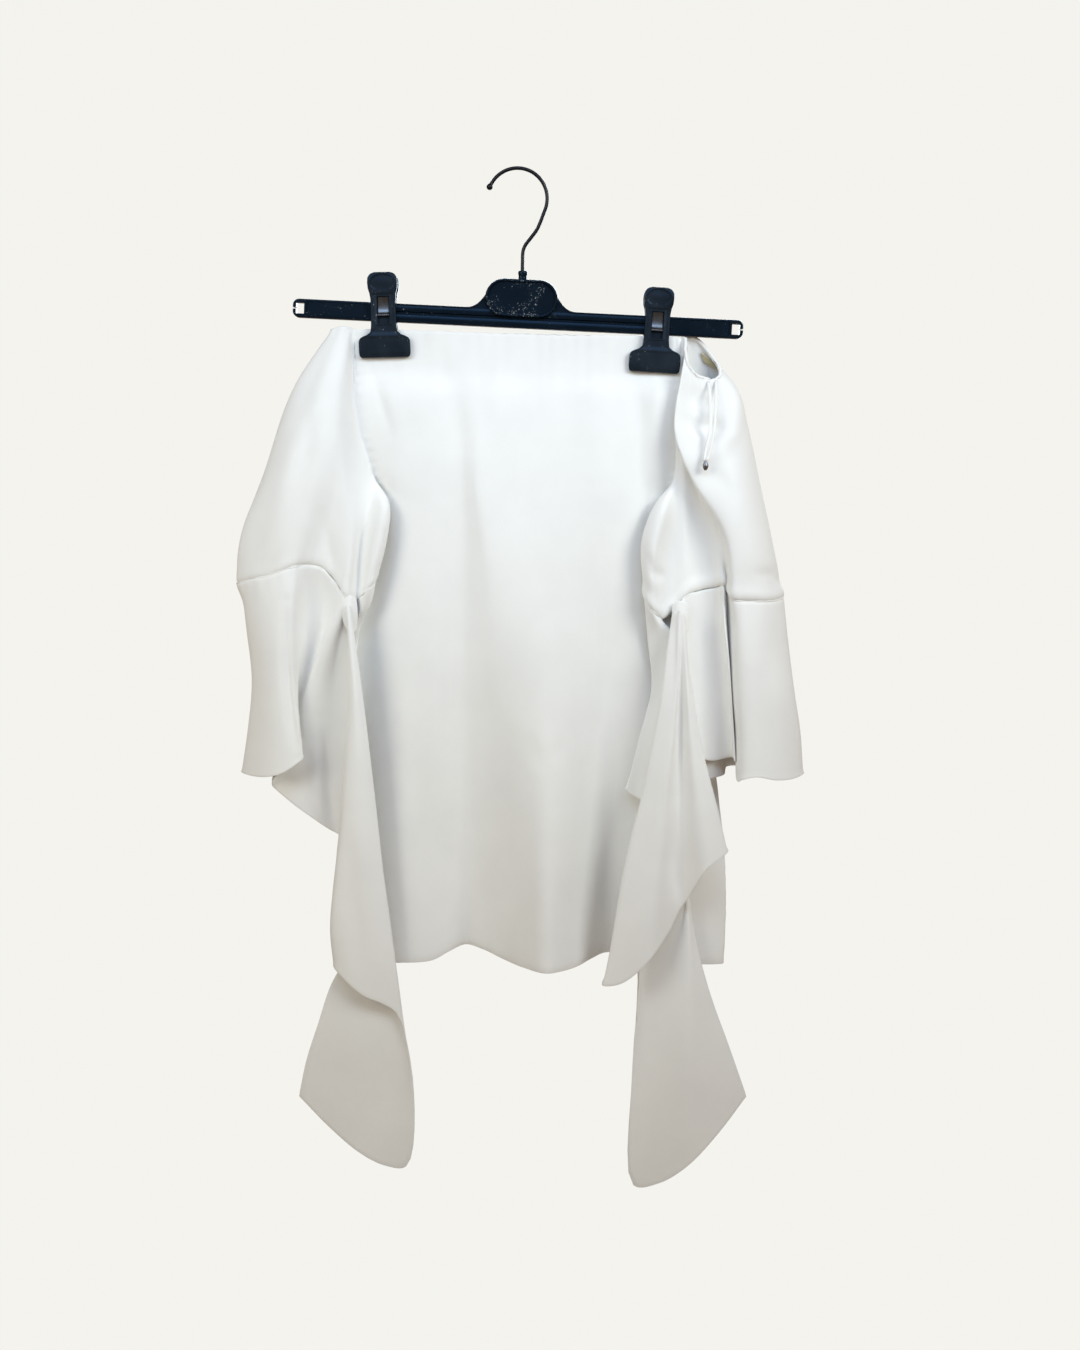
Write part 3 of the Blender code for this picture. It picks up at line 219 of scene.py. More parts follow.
# Sleeves: a row follows one fold from the armhole or the neck edge to the elbow seam, then on down
# the flounce to its raw edge. The first row of each side is the point where the cascade hangs.
SLEEVE_LEFT = (
    ("apex", ((-137, 247, 23), (-140, 286, 30), (-145, 330, 33), (-151, 373, 35)),
     ((-154, 384, 35), (-165, 400, 34), (-178, 428, 31), (-188, 454, 26), (-207, 510, 18), (-216, 547, 16))),
    ("front_3", ((-141, 221, 22), (-150, 278, 33), (-156, 325, 31), (-163, 357, 27)),
     ((-171, 383, 21), (-182, 424, 17), (-197, 463, 17), (-212, 500, 21), (-222, 537, 23))),
    ("front_2", ((-143, 195, 17), (-154, 252, 33), (-165, 304, 30), (-174, 346, 25)),
     ((-181, 375, 18), (-190, 419, 17), (-202, 463, 20), (-210, 500, 25), (-214, 528, 28))),
    ("front_1", ((-146, 164, 8), (-158, 226, 32), (-171, 286, 33), (-186, 343, 27)),
     ((-190, 374, 22), (-195, 419, 25), (-197, 463, 29), (-197, 514, 32))),
    ("neck_front", ((-147, 138, 2), (-163, 200, 27), (-180, 269, 36), (-197, 344, 34)),
     ((-198, 374, 37), (-199, 410, 38), (-198, 446, 38), (-191, 512, 36))),
    ("head_front", ((-154, 136, 4), (-176, 200, 26), (-202, 278, 34), (-219, 352, 30)),
     ((-217, 382, 34), (-215, 426, 36), (-214, 470, 36), (-212, 527, 36))),
    ("outer_front", ((-160, 136, 3), (-188, 199, 18), (-217, 278, 24), (-237, 356, 20)),
     ((-235, 392, 22), (-231, 436, 24), (-232, 481, 24), (-236, 531, 24))),
    ("outer", ((-166, 138, 0), (-201, 189, 2), (-228, 265, 2), (-251, 322, 2), (-254, 361, 0)),
     ((-249, 373, 2), (-245, 404, 3), (-241, 447, 4), (-245, 487, 4), (-252, 530, 4))),
    ("outer_back", ((-160, 136, -3), (-197, 198, -14), (-228, 277, -20), (-238, 361, -18)),
     ((-235, 413, -18), (-233, 468, -20), (-238, 535, -22))),
    ("back_neck", ((-147, 138, -2), (-175, 206, -20), (-197, 286, -27), (-210, 363, -24)),
     ((-207, 414, -26), (-205, 469, -30), (-210, 535, -34))),
    ("back_arm_1", ((-147, 176, -8), (-165, 242, -24), (-180, 304, -27), (-188, 366, -23)),
     ((-186, 413, -24), (-186, 468, -22), (-188, 537, -20))),
    ("back_arm_2", ((-146, 211, -11), (-156, 268, -21), (-163, 313, -21), (-172, 367, -18)),
     ((-172, 413, -21), (-173, 468, -26), (-176, 544, -30))),
    ("back_arm_3", ((-141, 242, -11), (-147, 286, -14), (-154, 327, -13), (-160, 365, -10)),
     ((-162, 413, -10), (-166, 468, -10), (-170, 546, -10))),
    ("under", ((-125, 286, 0), (-133, 305, 3), (-141, 335, 7), (-148, 363, 10)),
     ((-152, 390, 9), (-155, 412, 8), (-160, 467, 6), (-164, 549, 6))),
    ("lobe_edge", ((-127, 273, 5), (-114, 289, 23), (-117, 326, 27), (-126, 357, 26)),
     ((-129, 373, 24), (-139, 390, 19), (-146, 420, 16), (-151, 484, 15), (-153, 548, 14))),
    ("lobe_crest", ((-129, 266, 8), (-118, 293, 33), (-126, 332, 36), (-135, 366, 33)),
     ((-137, 378, 30), (-148, 397, 22), (-156, 429, 16), (-163, 483, 12), (-166, 547, 11))),
    ("valley", ((-132, 260, 9), (-131, 289, 22), (-141, 326, 21), (-144, 374, 23)),
     ((-145, 386, 21), (-155, 402, 17), (-163, 429, 13), (-173, 483, 9), (-179, 546, 8))),
)
SLEEVE_RIGHT = (
    ("apex", ((138, 244, 6), (140, 282, 20), (142, 326, 26), (140, 374, 30)),
     ((143, 396, 27), (147, 427, 25), (152, 463, 24), (158, 518, 24))),
    ("recess_1", ((139, 230, 6), (143, 262, 19), (151, 317, 19), (158, 366, 20)),
     ((161, 396, 19), (165, 437, 18), (171, 518, 18))),
    ("recess_2", ((140, 212, 6), (145, 245, 16), (159, 297, 18), (173, 363, 20)),
     ((176, 392, 20), (180, 428, 20), (188, 514, 20))),
    ("recess_3", ((142, 192, 5), (143, 226, 15), (160, 282, 20), (174, 321, 25), (178, 361, 30)),
     ((179, 391, 33), (183, 427, 34), (190, 516, 33))),
    ("neck_front", ((145, 145, 2), (147, 160, 7), (144, 182, 14), (137, 222, 24), (151, 271, 31),
                    (176, 316, 31), (182.5, 366, 22)),
     ((184, 391, 16), (186, 427, 17), (189, 470, 20), (192, 520, 24))),
    ("fold_edge", ((145, 162, 12), (140, 183, 20), (134, 229, 29), (153, 273, 36), (178, 316, 40),
                   (186, 374, 39)),
     ((188, 392, 38), (188, 420, 38), (189.5, 462, 38), (193, 497, 38), (193, 535, 37))),
    ("front_a", ((150, 174, 12), (156, 203, 13), (162, 243, 28), (180, 304, 42), (193, 374, 38)),
     ((196, 417, 42), (199, 460, 43), (200, 528, 43))),
    ("front_b", ((165, 181, 8), (169, 212, 18), (180, 260, 36), (195, 312, 40), (209, 375, 34)),
     ((212, 417, 37), (218, 461, 38), (222, 532, 38))),
    ("outer_front", ((175, 179, 4), (186, 217, 18), (198, 265, 24), (213, 321, 26), (226, 375, 20)),
     ((229, 418, 22), (236, 463, 24), (243, 533, 24))),
    ("outer", ((177, 172, 0), (192, 191, 1), (203, 227, 2), (213, 273, 2), (222, 311, 2), (236, 373, 0)),
     ((240, 408, 2), (247, 459, 3), (253, 493, 3), (256, 531, 3))),
    ("outer_back", ((171, 163, -4), (185, 176, -9), (198, 215, -16), (212, 273, -22), (231, 377, -18)),
     ((236, 422, -19), (241, 468, -22), (247, 533, -24))),
    ("back_rim", ((159, 146.5, -4.6), (173, 180, -15), (191, 241, -26), (214, 378, -26)),
     ((217, 423, -28), (220, 469, -30), (223, 530, -34))),
    ("back_neck", ((145, 145, -2), (158, 197, -18), (177, 268, -28), (196, 377, -27)),
     ((200, 423, -26), (203, 469, -24), (206, 528, -22))),
    ("back_arm_2", ((142, 191, -8), (153, 233, -19), (167, 295, -25), (179, 379, -21)),
     ((183, 423, -22), (187, 469, -24), (190, 530, -27))),
    ("back_arm_3", ((139, 233, -11), (147, 277, -15), (155, 322, -13), (163, 380, -3)),
     ((171, 422, 4), (177, 468, 6), (182, 533, 6))),
    ("under", ((133, 286, 0), (138, 303, 5), (142, 335, 11), (147, 374, 14)),
     ((151, 412, 15), (155, 467, 15), (160, 536, 14))),
    ("lobe_edge", ((135, 275, 3), (119, 289, 20), (106, 321, 27), (109, 370, 26)),
     ((111, 397, 23), (114, 424, 21), (117, 451, 20), (106, 497, 19), (94, 543, 19))),
    ("lobe_crest", ((136, 266, 4), (126, 289, 32), (116, 330, 40), (117, 384, 34)),
     ((124, 409, 28), (123, 446, 24), (111, 496, 23), (102, 549, 23))),
    ("wedge", ((137, 256, 5), (134, 289, 24), (130, 334, 22), (131, 392, 22)),
     ((139, 398, 34), (137, 428, 36), (130, 464, 37), (122, 504, 37), (112, 553, 34))),
)
# Cascades: what hangs in zigzag folds below the apex, from the ring of the flounce to its free end.
CASCADE_LEFT = (
    ("triangle_middle", ((-152, 377, 32), (-169, 445, 21), (-191, 567, 17))),
    ("triangle_inner", ((-151, 379, 30), (-157, 464, 19), (-164, 585, 16))),
    ("inner_return", ((-149, 380, 27), (-147, 481, 21), (-145, 591, 19))),
    ("inner_turn", ((-148, 380, 31), (-142, 499, 25), (-135, 626, 24))),
    ("tail_roll", ((-149, 379, 34), (-147, 453, 32), (-149, 492, 32), (-156, 581, 33), (-163, 641, 33),
                   (-165, 679, 33), (-162, 696, 33))),
    ("tail_left", ((-151, 378, 37), (-150, 453, 40), (-152, 492, 43), (-160, 581, 44), (-167, 641, 44),
                   (-169, 679, 44), (-166, 699, 44))),
    ("tail_middle", ((-151, 378, 38.5), (-144, 461, 47), (-142, 549, 50), (-142, 639, 50), (-139, 724, 50))),
    ("tail_right", ((-149.5, 378, 38), (-143, 428, 42), (-138, 473, 45), (-127, 577, 46), (-120, 636, 46),
                    (-113, 715, 46), (-110, 742, 45))),
    ("second_right", ((-142, 462, 39), (-135, 552, 39), (-130, 642, 39), (-127, 739, 38), (-115, 819, 36),
                      (-104, 887, 35))),
    ("second_middle", ((-144, 470, 38.5), (-144, 552, 39), (-145, 643, 40), (-151, 734, 38), (-150, 808, 38),
                       (-145, 873, 39))),
    ("second_left", ((-145, 480, 37.5), (-148, 552, 38), (-153, 643, 38), (-157, 695, 38), (-171, 722, 36),
                     (-186, 769, 34), (-198, 806, 33), (-200, 822, 33))),
)
CASCADE_RIGHT = (
    ("inner_hidden", ((144, 386, 34), (150, 462, 32), (159, 542, 32), (167, 583, 32))),
    ("front_right", ((144, 385, 39), (146, 414, 39), (151, 451, 39), (163, 514, 39), (172, 546, 39),
                     (180, 578, 39), (184, 595, 39))),
    ("front_fold", ((142.5, 383, 42.5), (147, 460, 46), (155, 539, 48), (165, 609, 48))),
    ("front_valley", ((140.5, 382.5, 43.5), (141, 461, 41), (142, 550, 38), (142, 605, 36), (146, 646, 35))),
    ("front_crest", ((138.5, 382.5, 43), (137, 460, 47), (131, 548, 49), (122, 620, 49), (117, 689, 48))),
    ("front_turn", ((136.5, 384, 40.5), (133, 460, 46), (121, 531, 48), (106, 611, 48), (91, 713, 47))),
    ("front_left", ((133, 386, 37), (128, 421, 42), (123, 463, 43), (115, 502, 43), (106, 549, 43),
                    (95, 592, 43), (87, 636, 43), (79, 686, 43), (73, 716, 43))),
    ("back_return", ((137, 462, 35), (124, 533, 35), (111, 596, 34), (107, 642, 34), (104, 687, 34))),
    ("tail_left", ((144, 552, 28), (147, 607, 26), (146, 657, 25), (135, 682, 25), (130, 717, 25),
                   (122, 776, 25), (108, 872, 25), (103, 909, 25))),
    ("tail_middle", ((147, 544, 25), (148, 607, 25), (150, 662, 27), (150, 734, 31), (149, 807, 34),
                     (151, 887, 35))),
    ("tail_right", ((149, 535, 21), (150, 608, 21), (152, 644, 22), (159, 686, 23), (172, 733, 23),
                    (189, 780, 23), (205, 826, 23))),
)
RIM_COLUMNS = 10  # along the open neck edge of a sleeve
SLEEVE_ROWS = 9
FLOUNCE_ROWS = 10
CASCADE_STEPS = 2
FRONT_STEPS = 2
BACK_STEPS = 2

# Grip tape inside the right sleeve's neck edge, and the two ribbons that end in a bead.
TAPE_FOLDS = ("outer_back", "back_neck")  # it runs round the back of the opening, between these
TAPE_ENDS = (0.45, 1.15)  # where it starts and stops, counted in folds from the first of them
TAPE_DROP = 11.0  # below the neck edge
TAPE_GAP = 0.8
TAPE_WIDTH = 9.0
TAPE_WALL = 1.0
RIBBONS = (
    ("ribbon_left", ((165.5, 183, 11), (166, 200, 21), (165, 225, 31), (161, 243, 37), (159.4, 252.9, 40))),
    ("ribbon_right", ((172.5, 182, 8.5), (171, 200, 20), (169, 222, 31), (165, 243, 38), (161.6, 252.9, 41))),
)
BEAD = (160.5, 257, 41)
BEAD_SIZE = (5.2, 3.6, 7.6)


def hermite(p0, p1, p2, p3, f):
    """The point at share f between p1 and p2 of a curve that eases evenly through uneven spacing."""
    def span(a, b):
        return np.maximum(np.linalg.norm(b - a, axis=-1, keepdims=True), 1e-6) ** 0.5

    d0, d1, d2 = span(p0, p1), span(p1, p2), span(p2, p3)
    m1 = d1 * ((p1 - p0) / d0 - (p2 - p0) / (d0 + d1) + (p2 - p1) / d1)
    m2 = d1 * ((p2 - p1) / d1 - (p3 - p1) / (d1 + d2) + (p3 - p2) / d2)
    return (
        (2 * f**3 - 3 * f**2 + 1) * p1 + (f**3 - 2 * f**2 + f) * m1
        + (3 * f**2 - 2 * f**3) * p2 + (f**3 - f**2) * m2
    )


def curve_at(points, where, before=None, after=None, closed=False):
    """The curve through points at each place of where, which counts in points."""
    points = np.asarray(points, float)
    last = len(points)
    found = []
    for place_along in where:
        i = int(math.floor(place_along + 1e-9))
        if not closed:
            i = min(i, last - 2)
        f = place_along - i
        if closed:
            p0, p1, p2, p3 = (points[(i + k) % last] for k in (-1, 0, 1, 2))
        else:
            p1, p2 = points[i], points[i + 1]
            first = 2 * points[0] - points[1] if before is None else before
            final = 2 * points[-1] - points[-2] if after is None else after
            p0 = points[i - 1] if i > 0 else first
            p3 = points[i + 2] if i + 2 < last else final
        found.append(hermite(p0, p1, p2, p3, f))
    return np.array(found)


def along(points, rows):
    """rows + 1 points spaced evenly along the curve through points."""
    fine = curve_at(points, np.linspace(0, len(points) - 1, 12 * (len(points) - 1) + 1))
    run = np.concatenate([[0], np.cumsum(np.linalg.norm(np.diff(fine, axis=0), axis=1))])
    even = np.linspace(0, run[-1], rows + 1)
    return np.stack([np.interp(even, run, fine[:, k]) for k in range(3)], axis=1)


def unit(vectors):
    return vectors / np.maximum(np.linalg.norm(vectors, axis=-1, keepdims=True), 1e-9)


def row_places():
    """Where each row of faces of the bodice lies, counted in levels from the neck."""
    where = [0.0]
    for level, steps in enumerate(LEVEL_STEPS):
        where += [level + (step + 1) / steps for step in range(steps)]
    return where


def bodice_line(neck, grip_out, rights, outs, hem):
    """One fold of the bodice, with a point on every row of faces."""
    grip = (0.5 * (neck[0] + rights[0]), neck[1] + GRIP_DROP, grip_out)
    line = curve_at([neck, grip, *zip(rights, LEVELS, outs), hem], row_places())
    rows = LEVEL_STEPS[0] + 1
    facing = math.copysign(1.0, grip_out)
    line[:rows, 2] = facing * np.maximum(facing * line[:rows, 2], min(abs(neck[2]), abs(grip_out)))
    return line


def side_line(side, facing):
    """The edge of the front (facing 1) or back (facing -1) panel: armhole, then side seam."""
    line = bodice_line(side["neck"], 0.0, side["x"], side["out"], side["hem"])
    halves = np.array([[half] for half in side["armhole"]] + [[UNDERARM_GAP]])
    spread = np.zeros(len(line))
    spread[: armhole_rows() + 1] = curve_at(halves, row_places()[: armhole_rows() + 1])[:, 0]
    spread[armhole_rows() + 1] = UNDERARM_GAP / 2
    line[:, 2] += facing * (SEAM_GAP / 2 + spread)
    return line


def armhole_rows():
    return sum(LEVEL_STEPS[:ARMHOLE_SPANS])


def ghost(edge, inner, beyond):
    """What lies past a panel's edge: its own run above the underarm, the other panel below it."""
    past = beyond.copy()
    above = armhole_rows()
    past[:above] = (2 * edge - inner)[:above]
    return past


def bodice_grids():
    """The front, left to right, and the back, right to left, as columns of points."""
    fronts = [bodice_line(*row[1:]) for row in FRONT_FOLDS]
    backs = [bodice_line(*row[1:]) for row in BACK_FOLDS]
    front = [side_line(SIDE_LEFT, 1), *fronts, side_line(SIDE_RIGHT, 1)]
    back = [side_line(SIDE_RIGHT, -1), *backs, side_line(SIDE_LEFT, -1)]
    grids = []
    for lines, first_past, last_past, steps in (
        (front, backs[-1], backs[0], FRONT_STEPS),
        (back, fronts[-1], fronts[0], BACK_STEPS),
    ):
        where = np.linspace(0, len(lines) - 1, steps * (len(lines) - 1) + 1)
        before = ghost(lines[0], lines[1], first_past)
        after = ghost(lines[-1], lines[-2], last_past)
        grids.append(curve_at(lines, where, before, after))
    return with_seam_columns(*grids)


def with_seam_columns(front, back):
    """Adds a column close to each side edge: square to the armhole, and one run across the side seam."""
    above = armhole_rows()
    runs = []
    turns = np.radians(np.interp(row_places()[:above], (2, ARMHOLE_SPANS), (0, UNDERARM_TURN)))
    for panel, edge, inner, other, facing in (
        (front, 0, 1, back[-2], 1), (front, -1, -2, back[1], 1),
        (back, 0, 1, front[-2], -0.4), (back, -1, -2, front[1], -0.4),
    ):
        run = unit(other - panel[inner])
        for row, turn in enumerate(turns * facing):
            run[row] = (math.copysign(math.cos(turn), panel[edge][0][0]), 0.0, math.sin(turn))
        runs.append(run)
    made = []
    for panel, first, last in ((front, runs[0], runs[1]), (back, runs[2], runs[3])):
        near = panel[:1] - first * SEAM_STEP
        far = panel[-1:] - last * SEAM_STEP
        made.append(np.concatenate([panel[:1], near, panel[1:-1], far, panel[-1:]]))
    return made


def sleeve_grid(rows, front_edge, front_run, back_edge, back_run):
    """Columns round a sleeve from the armhole and neck edge to the elbow seam, and their places."""
    names = [row[0] for row in rows]
    neck_front = names.index("neck_front")
    neck_back = names.index("back_neck")
    under = names.index("under")
    starts = np.array([row[1][0] for row in rows], float)
    lines = np.array([along(row[1], SLEEVE_ROWS) for row in rows])
    above = armhole_rows()

    columns = []  # place round the sleeve, seam point, direction across the seam
    heights = -starts[[*range(under, len(rows)), *range(neck_front + 1)], 1]
    places = [*range(under, len(rows)), *range(len(rows), len(rows) + neck_front + 1)]
    for row in range(above):
        at = np.interp(-front_edge[row][1], heights, places) % len(rows)
        columns.append((at, front_edge[row], front_run[row]))
    for step in range(1, RIM_COLUMNS):
        at = neck_front + (neck_back - neck_front) * step / RIM_COLUMNS
        columns.append((at, None, None))
    heights = starts[neck_back:under + 1, 1]
    for row in range(above):
        at = np.interp(back_edge[row][1], heights, range(neck_back, under + 1))
        columns.append((at, back_edge[row], back_run[row]))
    middle = (front_edge[above] + back_edge[above]) / 2
    rise = unit(front_run[above - 1] + back_run[above - 1]) + np.array((0.0, -UNDERARM_RISE, 0.0))
    columns.append((under, middle, unit(rise)))
    columns.sort(key=lambda column: column[0])

    around = [column[0] for column in columns]
    grid = curve_at(lines, around, closed=True)
    fade = (1 - np.linspace(0, 1, SLEEVE_ROWS + 1)[:, None]) ** 2
    into = unit(grid[:, -1] - grid[:, -2])
    into = unit(sum(np.roll(into, shift, axis=0) * (3 - abs(shift)) for shift in (-2, -1, 0, 1, 2)))
    made = []
    for points, last, (_, seam, run) in zip(grid, into * SEAM_STEP, columns):
        if seam is not None:
            near = max(0.0, 1 - (starts[under][1] - seam[1]) / UNDERARM_REACH)
            points = points + (seam + run * (SEAM_GAP + UNDERARM_PART * near**2) - points[0]) * fade
        else:
            run = unit(points[1] - points[0])
        top, foot = points[:1], points[-1:]
        made.append(np.vstack([top, top + run * SEAM_STEP, points[1:-1], foot - last, foot]))
    return np.array(made), around


def flounce_grid(rows, cascade, sleeve, around):
    """Columns of a flounce: the cascade from its free end, then the ring below the elbow seam."""
    ring = [along((row[1][-1], *row[2]), FLOUNCE_ROWS) for row in rows]
    hanging = [along(row[1], FLOUNCE_ROWS) for row in reversed(cascade)]
    lines = np.array(hanging + ring)
    count = len(hanging)
    loose = list(np.arange(0, count, 1 / CASCADE_STEPS))
    sewn = [(at, column) for at, column in zip(around, sleeve) if at <= len(rows) - 1]
    grid = curve_at(lines, loose + [count + at for at, _ in sewn])
    fade = (1 - np.linspace(0, 1, FLOUNCE_ROWS + 1)[:, None]) ** 2
    steps = unit(np.roll(sleeve[:, -1], -1, axis=0) - sleeve[:, -1])
    turns = 0.5 - 0.5 * np.sum(steps * np.roll(steps, 1, axis=0), axis=1)
    turns = np.maximum(turns, np.maximum(np.roll(turns, 1), np.roll(turns, -1)))
    made = []
    for number, points in enumerate(grid):
        if number < len(loose):
            run = unit(points[1] - points[0])
        else:
            column = sewn[number - len(loose)][1]
            run = unit(column[-1] - column[-2])
            part = SEAM_GAP + FOLD_PART * turns[number - len(loose)]
            points = points + (column[-1] + run * part - points[0]) * fade
        made.append(np.vstack([points[:1], points[:1] + run * SEAM_STEP, points[1:]]))
    return np.array(made)


def tape_grid(sleeve, around):
    """The tape's columns, which lie on the inner side of the sleeve a little below its neck edge."""
    names = [row[0] for row in SLEEVE_RIGHT]
    first = names.index(TAPE_FOLDS[0])
    made = []
    for at in np.linspace(first + TAPE_ENDS[0], first + TAPE_ENDS[1], 6):
        i = int(np.searchsorted(around, at))
        share = (at - around[i - 1]) / (around[i] - around[i - 1])
        column = sleeve[i - 1] * (1 - share) + sleeve[i] * share
        below = unit(column[2] - column[0])
        inward = unit(np.cross(below, sleeve[i][0] - sleeve[i - 1][0]))
        start = column[0] + inward * (TAPE_GAP + (WALL + TAPE_WALL) / 2) * math.copysign(1.0, inward[2])
        made.append([start + below * (TAPE_DROP + share) for share in (0, TAPE_WIDTH / 2, TAPE_WIDTH)])
    return np.array(made)


def stretch(points, steps, closed=False):
    """The same curves with steps points in place of each one, along the first axis."""
    if closed:
        p0, p1, p2, p3 = (np.roll(points, -shift, axis=0) for shift in (-1, 0, 1, 2))
    else:
        padded = np.concatenate([2 * points[:1] - points[1:2], points, 2 * points[-1:] - points[-2:-1]])
        p0, p1, p2, p3 = padded[:-3], padded[1:-2], padded[2:-1], padded[3:]
    made = np.stack([hermite(p0, p1, p2, p3, f) for f in np.arange(steps) / steps], axis=1)
    made = made.reshape(-1, *points.shape[1:])
    return made if closed else np.concatenate([made, points[-1:]])


def refine(grid, column_steps, row_steps, closed=False):
    """A finer grid through every point of a coarse one."""
    rows = stretch(grid.transpose(1, 0, 2), row_steps).transpose(1, 0, 2)
    return stretch(rows, column_steps, closed)


def slopes(grid, axis, closed=False):
    if closed:
        return np.roll(grid, -1, axis=axis) - np.roll(grid, 1, axis=axis)
    return np.gradient(grid, axis=axis)


def normals_of(grid, closed=False):
    return unit(np.cross(slopes(grid, 0, closed), slopes(grid, 1)))


def soften(grid, rounds, closed=False):
    """Evens out a grid, and keeps its seams and edges where they are."""
    made = grid.copy()
    for _ in range(rounds):
        if closed:
            across = (np.roll(made, 1, axis=0) + np.roll(made, -1, axis=0)) / 2
            inner = slice(None)
        else:
            across = made.copy()
            across[1:-1] = (made[2:] + made[:-2]) / 2
            inner = slice(1, -1)
        down = made.copy()
        down[:, 1:-1] = (made[:, 2:] + made[:, :-2]) / 2
        mean = (across + down) / 2
        made[inner, 1:-1] += 0.5 * (mean - made)[inner, 1:-1]
    return made


def distance_down(grid):
    """How far along the cloth each point lies from its column's first point."""
    steps = np.linalg.norm(np.diff(grid, axis=1), axis=2)
    return np.concatenate([np.zeros((len(grid), 1)), np.cumsum(steps, axis=1)], axis=1)


def distance_across(grid):
    return distance_down(grid.transpose(1, 0, 2)).T


def waves(run, pitch):
    """An uneven wave along run, for gathers and pucker."""
    phase = 2 * math.pi * run / pitch + 1.9 * np.sin(run / (2.3 * pitch))
    return np.sin(phase + 0.8 * np.sin(run / (0.9 * pitch) + 2))


def pucker(grid, facing, run, away, depth, pitch, reach, groove, closed=False):
    """Small waves that die out away from a seam, which itself lies in a shallow groove."""
    shift = depth * waves(run, pitch) * np.exp(-away / reach) * (1 - np.exp(-away / SEAM_EASE))
    shift -= groove * np.exp(-((away / SEAM_GROOVE) ** 2))
    return grid + normals_of(grid, closed) * (facing * shift)[..., None]


def crease_height(grid, line, width, depth):
    """A soft ridge, or a trough where depth is below 0, along a line of (right, down) points."""
    line = np.array(line, float)
    flat = grid[..., :2]
    nearest = np.full(grid.shape[:2], 1e9)
    share = np.zeros(grid.shape[:2])
    count = len(line) - 1
    for i in range(count):
        step = line[i + 1] - line[i]
        along_line = np.clip((flat - line[i]) @ step / (step @ step), 0, 1)
        apart = np.linalg.norm(flat - line[i] - along_line[..., None] * step, axis=2)
        closer = apart < nearest
        nearest = np.where(closer, apart, nearest)
        share = np.where(closer, (i + along_line) / count, share)
    return depth * np.exp(-((nearest / width) ** 2)) * np.sin(math.pi * np.clip(share, 0.04, 0.96)) ** 0.7


def with_creases(grid, creases, outward, closed=False):
    """Adds creases to the layer of a piece that faces the front (side 1) or the back (side -1)."""
    normals = normals_of(grid, closed)
    moved = grid.copy()
    for _, line, width, depth, side in creases:
        proud = normals * np.where(normals[..., 2:] * side < 0, -1, 1)
        layer = np.clip(normals[..., 2] * outward * side * 4 + 0.5, 0, 1)
        moved += proud * crease_height(grid, line, width, depth)[..., None] * layer[..., None]
    return moved


# Creases: name, its line of right and down, half width, depth (below 0 for a trough), and 1 for front.
FRONT_CREASES = (
    ("below the left clip", ((-131, 170), (-123, 200), (-113, 228)), 5, -1.6, 1),
    ("beside it", ((-122, 168), (-112, 198), (-104, 240)), 7, 1.2, 1),
    ("inner left", ((-70, 150), (-62, 190), (-52, 240)), 9, -1.0, 1),
    ("middle", ((-33, 150), (-33, 195), (-30, 240)), 8, -1.5, 1),
    ("right of middle", ((40, 150), (44, 200), (42, 250)), 10, -0.8, 1),
    ("under the right clip", ((104, 180), (107, 230), (105, 300)), 8, -1.8, 1),
    ("small v, left arm", ((8, 500), (22, 522)), 6, -1.0, 1),
    ("small v, right arm", ((38, 498), (26, 520)), 6, -1.0, 1),
    ("low left", ((-92, 500), (-88, 580), (-90, 660)), 12, -2.0, 1),
    ("low right", ((44, 600), (46, 650), (46, 700)), 12, -1.5, 1),
)
BACK_CREASES = (
    ("below the right clip", ((130, 172), (122, 210), (112, 250)), 6, -1.6, -1),
    ("below the left clip", ((-124, 168), (-114, 205), (-104, 245)), 6, -1.6, -1),
    ("middle", ((10, 150), (14, 200), (12, 260)), 9, -1.2, -1),
    ("low right", ((70, 520), (74, 600), (72, 690)), 14, -2.0, -1),
    ("low left", ((-40, 480), (-36, 560), (-34, 640)), 14, -1.6, -1),
)
SLEEVE_LEFT_CREASES = (
    ("long trough", ((-181, 205), (-186, 250), (-196, 312)), 9, -2.6, 1),
    ("near the apex", ((-176, 288), (-170, 320), (-164, 352)), 6, -1.8, 1),
    ("at the elbow", ((-232, 372), (-222, 350), (-208, 336)), 5, -1.2, 1),
    ("back trough", ((-190, 210), (-200, 260), (-206, 320)), 9, -2.2, -1),
    ("back elbow", ((-230, 366), (-214, 340), (-196, 330)), 6, -1.6, -1),
)
SLEEVE_RIGHT_CREASES = (
    ("hollow below the rim", ((146, 196), (160, 200), (176, 203)), 9, -4.0, 1),
    ("dark fold", ((144, 217), (160, 222), (180, 222)), 7, -6.5, 1),
    ("fold beside the hollow", ((192, 186), (189, 206), (184, 228), (172, 243), (156, 251), (142, 256)),
     8, 3.4, 1),
    ("below the fold", ((158, 262), (176, 270), (192, 290)), 9, -1.5, 1),
    ("elbow", ((238, 366), (222, 352), (204, 350)), 5, -1.8, 1),
    ("lobe", ((110, 330), (116, 348), (128, 356)), 5, -2.0, 1),
    ("back trough", ((170, 210), (184, 270), (196, 330)), 9, -2.4, -1),
    ("back elbow", ((232, 366), (214, 344), (196, 338)), 6, -1.6, -1),
)
